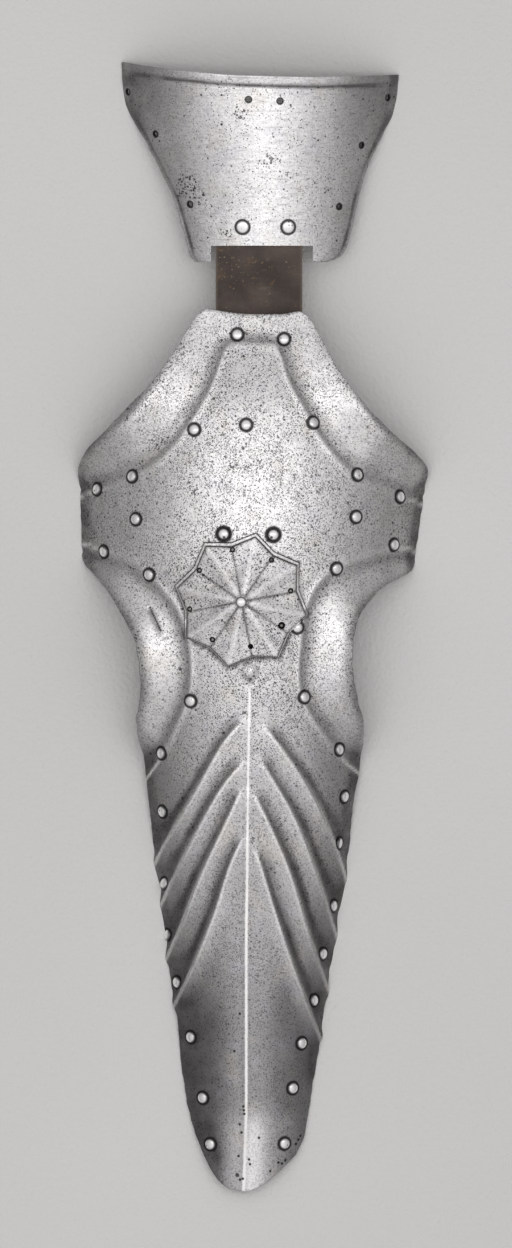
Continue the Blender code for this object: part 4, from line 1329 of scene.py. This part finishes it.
def painted_keel_highlight(finish):
    """A painted highlight: 1 on the keel's crest, with an uneven edge."""
    uneven = finish.sum("MULTIPLY", finish.cloud(1.6, 2.0, seed=41.0), 0.3)
    return finish.step(finish.sum("ADD", finish.from_vertices("keel_line"), uneven), 0.80, 1.02)


def steel_colour(finish, broad, patches, crest, brightness):
    """Dull to bright steel with bluish and brownish clouds, lightened by painted highlights and
    darkened towards the nose by painted shade.
    """
    halves = finish.sum("MULTIPLY", broad, 0.5), finish.sum("MULTIPLY", patches, 0.5)
    tone = finish.step(finish.sum("ADD", *halves), 0.34, 0.66)
    tone = finish.sum("ADD", finish.sum("MULTIPLY", tone, 0.16), brightness)
    # Painted highlights lighten the steel, and painted shade darkens it towards the nose.
    tone = finish.sum("ADD", tone, finish.sum("MULTIPLY", crest, 0.55))
    tone = finish.sum("SUBTRACT", tone, finish.from_vertices("tarnish"))
    tone = finish.put("ShaderNodeClamp", {"Value": tone}).outputs[0]
    colour = finish.mix(tone, DULL, BRIGHT)
    warm = finish.step(finish.cloud(17, 5.0, seed=11.0), 0.50, 0.72, 0.0, 0.30)
    cold = finish.step(finish.cloud(14, 5.0, seed=17.0), 0.50, 0.72, 0.0, 0.30)
    return finish.mix(cold, finish.mix(warm, colour, WARM), COLD)


def polish_marks(finish, scratches):
    """Fine grain, and hairlines across the plate where it was scoured."""
    grain = finish.step(finish.cloud(1.15, 2.0, seed=29.0), 0.42, 0.66, 0.0, 0.34)
    hairlines = finish.cloud(2.6, 3.0, stretch=(0.22, 2.0, 1.0), seed=31.0)
    return finish.sum("MAXIMUM", grain, finish.step(hairlines, 0.5, 0.7, 0.0, scratches))


print("bright steel", BRIGHT, "dull steel", DULL)

# %% [markdown]
# ## Pits in the steel
# Noise alone gives soft clouds, and a rust pit has an edge, so each pit is the middle
# of a Voronoi cell, and noise only makes its outline uneven. Three sizes share one
# cloud that says where they are thick: specks, spots and a few blots. At given places
# they cluster. Fewer show where highlights are painted and where the nose is painted
# darker as shade.

# %% Pits
Pit = namedtuple("Pit", "spacing radius")
SPECKS, SPOTS, BLOTS, CLUSTERED = Pit(0.88, 0.33), Pit(2.3, 0.55), Pit(7.0, 0.75), Pit(1.5, 0.7)


def steel_pits(finish, broad, patches, crest, pitting, clusters):
    shares = finish.sum("MULTIPLY", broad, 0.8), finish.sum("MULTIPLY", patches, 0.8)
    thick = finish.step(finish.sum("ADD", *shares), 0.62, 0.98, 0.4, 1.25)
    share = finish.sum("MULTIPLY", thick, pitting)
    specks = finish.sum("MULTIPLY", finish.pits(*SPECKS, share), 0.9)
    spots = finish.pits(*SPOTS, finish.sum("MULTIPLY", share, 0.6))
    blots = finish.pits(*BLOTS, 0.1 + 0.35 * pitting)
    for x, y, z, reach in clusters:
        inside_it = finish.step(finish.nearest([(x, y, z)]), reach * 0.35, reach, 1.0, 0.0)
        thicker = finish.pits(*CLUSTERED, finish.sum("MULTIPLY", inside_it, 0.8))
        blots = finish.sum("MAXIMUM", blots, thicker)
    pitted = finish.sum("MAXIMUM", finish.sum("MAXIMUM", specks, spots), blots)
    # Fewer pits where highlights are painted and where the nose's shade is painted.
    tarnish = finish.sum("MULTIPLY", finish.from_vertices("tarnish"), 0.5)
    cleaner = finish.sum("ADD", finish.sum("MULTIPLY", crest, 0.6), tarnish)
    cleaner = finish.put("ShaderNodeClamp", {"Value": cleaner}).outputs[0]
    return finish.sum("MULTIPLY", pitted, finish.sum("SUBTRACT", 1.0, cleaner))


print("pits lie", SPECKS.spacing, SPOTS.spacing, "and", BLOTS.spacing, "mm apart")

# %% [markdown]
# ## The whole finish
# Painted shade and grime, pits and the dark rings round rivets and holes are laid over
# the colour in turn. Order matters, because what is mixed in last covers the rest. The
# relief is three things: pits sink, fine noise roughens the surface, and a broader one
# keeps it from being a mirror.

# %% Steel finish
Ring = namedtuple("Ring", "points dark_to clear_from")


def old_steel(name, brightness, pitting, scratches=0.0, rings=(), clusters=()):
    """rings lie round rivets and holes; clusters are pitted places, (x, y, z, reach)."""
    finish = Finish(name)
    broad = finish.cloud(60, 3.0)
    patches = finish.cloud(14, 4.0, seed=3.0)
    line = painted_keel_highlight(finish)
    # Painted highlights from the vertices, and the keel's painted highlight line.
    crest = finish.sum("ADD", finish.from_vertices("crest"), finish.sum("MULTIPLY", line, 2.6))

    colour = steel_colour(finish, broad, patches, crest, brightness)
    beside_line = finish.sum("SUBTRACT", 1.0, line)
    grit = finish.sum("MULTIPLY", polish_marks(finish, scratches), beside_line)
    colour = finish.mix(grit, colour, GRIT)
    pitted = steel_pits(finish, broad, patches, crest, pitting, clusters)
    # Painted shade and grime from the vertices, made patchy, and painted shade on the inner side.
    patchy_shade_and_grime = finish.sum("MULTIPLY", finish.from_vertices("grime"), finish.step(patches, 0.25, 0.65, 0.65, 1.0))
    patchy_shade_and_grime = finish.sum("MAXIMUM", patchy_shade_and_grime, finish.from_vertices("inside"))
    colour = finish.mix(finish.sum("MULTIPLY", patchy_shade_and_grime, 0.85), colour, GRIME_AND_SHADE)
    colour = finish.mix(finish.sum("MULTIPLY", pitted, 0.88), colour, SOOT_AND_SHADE)
    # The plate under the rosette is painted black as shade.
    colour = finish.mix(finish.from_vertices("soot"), colour, SOOT_AND_SHADE)
    # Dark rings: dirt and painted shadow round rivets, painted shade round lace holes, and dark
    # marks round pits and the scar.
    for ring in rings:
        apart = finish.nearest(ring.points)
        dark = finish.step(apart, ring.dark_to, ring.clear_from, 0.95, 0.0)
        colour = finish.mix(dark, colour, SOOT_AND_SHADE)

    rough = finish.step(patches, 0.3, 0.75, 0.38, 0.46)
    rough = finish.sum("ADD", rough, finish.sum("MULTIPLY", patchy_shade_and_grime, 0.15))
    rough = finish.sum("ADD", rough, finish.sum("MULTIPLY", pitted, 0.25))
    fine, dents = finish.cloud(2.4, 3.0, seed=7.0), finish.cloud(7.0, 2.0, seed=23.0)
    relief = finish.sum("MULTIPLY", pitted, -0.10)
    relief = finish.sum("ADD", relief, finish.sum("MULTIPLY", fine, 0.12))
    relief = finish.sum("ADD", relief, finish.sum("MULTIPLY", dents, 0.2))
    return finish.finish(colour, rough, relief)


def coat(obj, material):
    obj.data.materials.clear()
    obj.data.materials.append(material)


coat(rosette, old_steel("rosette_steel", brightness=0.58, pitting=0.7))
print("steel nodes", len(rosette.data.materials[0].node_tree.nodes))

# %% [markdown]
# ## Marks of their own
# Some marks have their places on the real plates: patches where pits cluster, single
# deep pits on the nose, and a scar on the left eye's guard, which is a short row of
# dark places. They could be values on vertices, but some are as small as the mesh's
# faces, so the material measures its distance from each place. It is dark up to one
# distance and clear from another, as the dirt and painted shadow round the rivets are.

# %% Steel of the two plates
Patch = namedtuple("Patch", "x y reach")
MAIN_PATCHES = (
    Patch(8, 207, 6), Patch(-64, 123, 7), Patch(-70, 147, 5), Patch(-40, 91, 6), Patch(-14, 106, 5),
    Patch(-4, 105, 4), Patch(6, 107, 5), Patch(3, 206.5, 3), Patch(24, 207.5, 3),
)
DEEP_PITS = (
    Point(-9.7, -353.3), Point(-2, -358.7), Point(-2.6, -355.5), Point(4, -341),
    Point(-8.8, -258), Point(-12.4, -283), Point(28.6, -345.4), Point(30.3, -342.6),
    Point(31.6, -340), Point(17, -357.6), Point(19.4, -358.4), Point(21.6, -356.3),
    Point(11.5, -363.4), Point(-8.6, -369), Point(-6.8, -368.4), Point(-6.4, -320),
    Point(-6.1, -322.5), Point(-5.8, -325), Point(-8.8, -332), Point(-7.7, -337.5),
)
POLL_PATCHES = (
    Patch(-42, 291, 15), Patch(12, 310, 8), Patch(-17, 262, 5), Patch(-16, 364, 3.5),
    Patch(-8, 341, 6),
)
SCAR_FROM, SCAR_TO, SCAR_STEPS = Vector((-68.4, 12.6)), Vector((-61.6, -2.2)), 12


def patches_on(face, patches):
    return [(*outward(face, place.x, place.y)[0], place.reach) for place in patches]


def seats_of(made):
    return [point for _, point in made.values()]


stained = [rivets[name][1] for name in ("brow_rivet_4", "brow_rivet_5")]
deep = [outward(main_face, *place)[0] for place in DEEP_PITS]
steps = (SCAR_FROM.lerp(SCAR_TO, k / (SCAR_STEPS - 1)) for k in range(SCAR_STEPS))
scar = [outward(main_face, *place)[0] for place in steps]
# Dark rings of dirt and painted shadow round the rivets, wider round the two stained ones.
main_rings = (
    Ring(seats_of(rivets), PLAIN.head + 0.7, PLAIN.head + 1.9),
    Ring(stained, PLAIN.head + 1.3, PLAIN.head + 2.8),
    Ring(deep, 0.6, 1.2),
    Ring(scar, 0.2, 1.15),
)
laced = [outward(poll_face, *place)[0] for place in LACE_HOLES]
# Dirt and painted shadow round the poll rivets, and painted shade round the lace holes.
poll_rings = (
    Ring(seats_of(poll_rivets), FLAT.head + 0.6, FLAT.head + 1.5),
    Ring(laced, LACE_HOLE + 0.6, LACE_HOLE + 1.2),
)
coat(main_plate, old_steel(
    "main_steel", brightness=0.74, pitting=0.85,
    rings=main_rings, clusters=patches_on(main_face, MAIN_PATCHES),
))
coat(poll_plate, old_steel(
    "poll_steel", brightness=0.74, pitting=0.17, scratches=0.42,
    rings=poll_rings, clusters=patches_on(poll_face, POLL_PATCHES),
))
print("main plate's steel nodes", len(main_plate.data.materials[0].node_tree.nodes))

# %% [markdown]
# ## Rivet heads
# The heads are coloured nearly white, brighter than the plates, as a painted highlight
# that shows however a head is tilted, and only a few specks are left on them. In the
# plates' own steel they would hardly show. Painted shade lies on their outer ring, and
# two of them above the rosette have a deep pit. The nails are the same finish in darker
# colours.

# %% Rivet finish
# Nearly white heads stand in for their highlights.
DULL_HEAD, BRIGHT_HEAD = (0.93, 0.92, 0.905), (1.0, 0.995, 0.985)
DULL_NAIL, BRIGHT_NAIL = (0.08, 0.075, 0.07), (0.30, 0.29, 0.28)
RIVET_PITS = (Vector((0.3, -2.2, 0)), Vector((-1.2, -1.7, 0)))
PIT_HEIGHT = Vector((0, 0, PLAIN.rise * 0.7))


def rivet_steel(name, dull, bright, pits=()):
    finish = Finish(name)
    patches, fine = finish.cloud(6, 4.0), finish.cloud(1.4, 3.0, seed=5.0)
    specks = finish.pits(2.6, 0.45, 0.42)
    colour = finish.mix(finish.step(patches, 0.35, 0.65), dull, bright)
    colour = finish.mix(finish.sum("MULTIPLY", specks, 0.8), colour, SOOT_AND_SHADE)
    # Painted shade on the outer ring of each head.
    colour = finish.mix(finish.sum("MULTIPLY", finish.from_vertices("rim"), 0.9), colour, SOOT_AND_SHADE)
    if pits:
        colour = finish.mix(finish.step(finish.nearest(pits), 0.7, 1.3, 0.9, 0.0), colour, SOOT_AND_SHADE)
    rough = finish.step(fine, 0.3, 0.7, 0.20, 0.30)
    sunk, rough_skin = finish.sum("MULTIPLY", specks, -0.1), finish.sum("MULTIPLY", fine, 0.08)
    relief = finish.sum("ADD", sunk, rough_skin)
    return finish.finish(colour, rough, relief, metallic=0.5)


pits = [point + off + PIT_HEIGHT for point, off in zip(stained, RIVET_PITS)]
head_steel = rivet_steel("rivet_steel", DULL_HEAD, BRIGHT_HEAD, pits)
nail_steel = rivet_steel("nail_steel", DULL_NAIL, BRIGHT_NAIL)
heads = {**rivets, **poll_rivets, **boss_rivet}
for copy, _ in heads.values():
    coat(copy, head_steel)
for copy, _ in nails.values():
    coat(copy, nail_steel)
print("heads coated", len(heads), "nails", len(nails))

# %% [markdown]
# ## Leather
# The strap is old vegetable-tanned leather, nearly black-brown, dry and scuffed. With
# noise alone it would look like felt, so the edges of fine Voronoi cells make its
# grain. Longer wrinkles run across it where it bends, and reddish brown shows where
# the dark surface has worn away.

# %% Leather finish
LEATHER_DARK, LEATHER_LIGHT = (0.075, 0.056, 0.047), (0.150, 0.112, 0.092)
RUSSET, STREAK, CREVICE = (0.24, 0.15, 0.085), (0.27, 0.215, 0.175), (0.022, 0.015, 0.012)
SPECK, CUT_EDGE = (0.30, 0.24, 0.16), (0.30, 0.25, 0.20)
WORN_CORNER = (-18, 240, 28)
finish = Finish("dark_leather")
broad = finish.cloud(22, 5.0)
scuffed = finish.cloud(5.5, 6.0, seed=4.0)
streaks = finish.cloud(9.0, 4.0, stretch=(0.5, 2.2, 1.0), seed=9.0)
grain = finish.put(
    "ShaderNodeTexVoronoi", {"Vector": finish.place, "Scale": 1 / 0.9}, feature="DISTANCE_TO_EDGE"
).outputs["Distance"]
colour = finish.mix(finish.step(broad, 0.35, 0.7), LEATHER_DARK, LEATHER_LIGHT)
colour = finish.mix(finish.step(scuffed, 0.58, 0.72, 0.0, 0.75), colour, RUSSET)
colour = finish.mix(finish.step(streaks, 0.6, 0.78, 0.0, 0.6), colour, STREAK)
colour = finish.mix(finish.step(grain, 0.0, 0.12, 0.45, 0.0), colour, CREVICE)
near_corner = finish.step(finish.nearest([WORN_CORNER]), 3, 18, 0.5, 0.05)
specks = finish.sum("MULTIPLY", finish.pits(1.6, 0.45, near_corner), 0.7)
colour = finish.mix(specks, colour, SPECK)
colour = finish.mix(finish.sum("MULTIPLY", finish.from_vertices("crest"), 0.5), colour, CUT_EDGE)
rough = finish.step(scuffed, 0.3, 0.75, 0.62, 0.8)
cells = finish.step(grain, 0.0, 0.25, 0.0, 0.07)
relief = finish.sum("ADD", cells, finish.sum("MULTIPLY", streaks, 0.5))
leather = finish.finish(colour, rough, relief, metallic=0.0)
x, y = plan_of(strap)
paint(strap, "crest", 1 - ease(0.3, 1.5, np.minimum(x - STRAP_LEFT, STRAP_RIGHT - x)))
coat(strap, leather)
print("leather nodes", len(leather.node_tree.nodes))

# %% [markdown]
# ## Floor
# The mask lies on a plain pale floor, large enough that no view shows its end. Faint
# clouds of noise keep it from looking like a blank sheet.

# %% Floor
FLOOR_SIZE = 40
DARKER, PALER = (0.82, 0.815, 0.80), (0.86, 0.855, 0.84)
bpy.ops.object.select_all(action="DESELECT")
bpy.ops.mesh.primitive_plane_add(size=FLOOR_SIZE, location=(0, 0, 0))
floor = bpy.context.object
floor.name = "floor"
finish = Finish("pale_floor")
colour = finish.mix(finish.step(finish.cloud(400, 2.0), 0.3, 0.7), DARKER, PALER)
rough = finish.step(finish.cloud(90, 2.0), 0.3, 0.7, 0.75, 0.85)
coat(floor, finish.finish(colour, rough, relief=finish.cloud(3), metallic=0.0))
floor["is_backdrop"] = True
print("floor", tuple(floor.dimensions))

# %% [markdown]
# ## Light
# Polished steel shows whatever it faces, so a few strong lamps would stand in it as
# hard bright shapes. The surroundings give most of the light instead. They are
# brightest overhead and fade towards the horizon, as under a large white cloth, so
# the flat of the forehead shines and the sides that turn away go dark. A weak strip
# light along the middle adds a soft highlight to the rolls and the rivets.

# %% Light
ZENITH = Vector((0, -0.13, 0.991))
LOW_LIGHT, HIGH_LIGHT, FALL_OFF = 0.05, 0.98, 1.4
SKY_TINT = (1.0, 0.985, 0.995, 1)
STRIP_AT, STRIP_AIM = Vector((0.06, 0.1, 2.2)), Vector((0.01, 0.1, 0))
STRIP_WIDTH, STRIP_LENGTH, STRIP_POWER = 0.32, 2.6, 5.5

strip = bpy.data.lights.new("strip_light", "AREA")
strip.shape = "RECTANGLE"
strip.size, strip.size_y, strip.energy = STRIP_WIDTH, STRIP_LENGTH, STRIP_POWER
lamp = bpy.data.objects.new("strip_light", strip)
lamp.location = STRIP_AT
lamp.rotation_euler = (STRIP_AIM - STRIP_AT).to_track_quat("-Z", "Y").to_euler()
bpy.context.scene.collection.objects.link(lamp)

world = bpy.data.worlds.new("soft_studio")
bpy.context.scene.world = world
world.use_nodes = True
tree = world.node_tree
direction = tree.nodes.new("ShaderNodeTexCoord")
upwards = tree.nodes.new("ShaderNodeVectorMath")
upwards.operation = "DOT_PRODUCT"
upwards.inputs[1].default_value = ZENITH
brighter = tree.nodes.new("ShaderNodeMath")
brighter.operation = "POWER"
brighter.use_clamp = True
brighter.inputs[1].default_value = FALL_OFF
level = tree.nodes.new("ShaderNodeMapRange")
level.inputs["To Min"].default_value = LOW_LIGHT
level.inputs["To Max"].default_value = HIGH_LIGHT
background = tree.nodes["Background"]
background.inputs["Color"].default_value = SKY_TINT
tree.links.new(direction.outputs["Generated"], upwards.inputs[0])
tree.links.new(upwards.outputs["Value"], brighter.inputs[0])
tree.links.new(brighter.outputs[0], level.inputs["Value"])
tree.links.new(level.outputs[0], background.inputs["Strength"])
print("lights", [obj.name for obj in bpy.data.objects if obj.type == "LIGHT"])

# %% [markdown]
# ## Camera
# The camera looks straight down, with the poll at the top. It stands far off with a
# long lens, because a near camera spreads the high parts of a form outwards. The
# lens is worked out from the height of the view, so the distance can be changed.

# %% Camera
VIEW_HEIGHT, DISTANCE, MIDDLE = 0.832, 10.0, Vector((0.002, 0.0017, 0.02))
bpy.context.scene.view_settings.view_transform = "Standard"
camera_data = bpy.data.cameras.new("camera")
camera_data.lens = camera_data.sensor_width * DISTANCE / VIEW_HEIGHT
camera = bpy.data.objects.new("camera", camera_data)
camera.location = MIDDLE + Vector((0, 0, DISTANCE))
bpy.context.scene.collection.objects.link(camera)
bpy.context.scene.camera = camera
print("lens", round(camera_data.lens, 1), "mm")

# Comparing the two boxes by eye would miss a millimetre, so both are written down as
# numbers.

# %% Boxes
FINE_BOX = [list(corner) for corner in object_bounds()]
for low, high, fine_low, fine_high in zip(*CAD_BOX, *FINE_BOX):
    print(f"frame {high - low:.4f} m, finished {fine_high - fine_low:.4f} m")
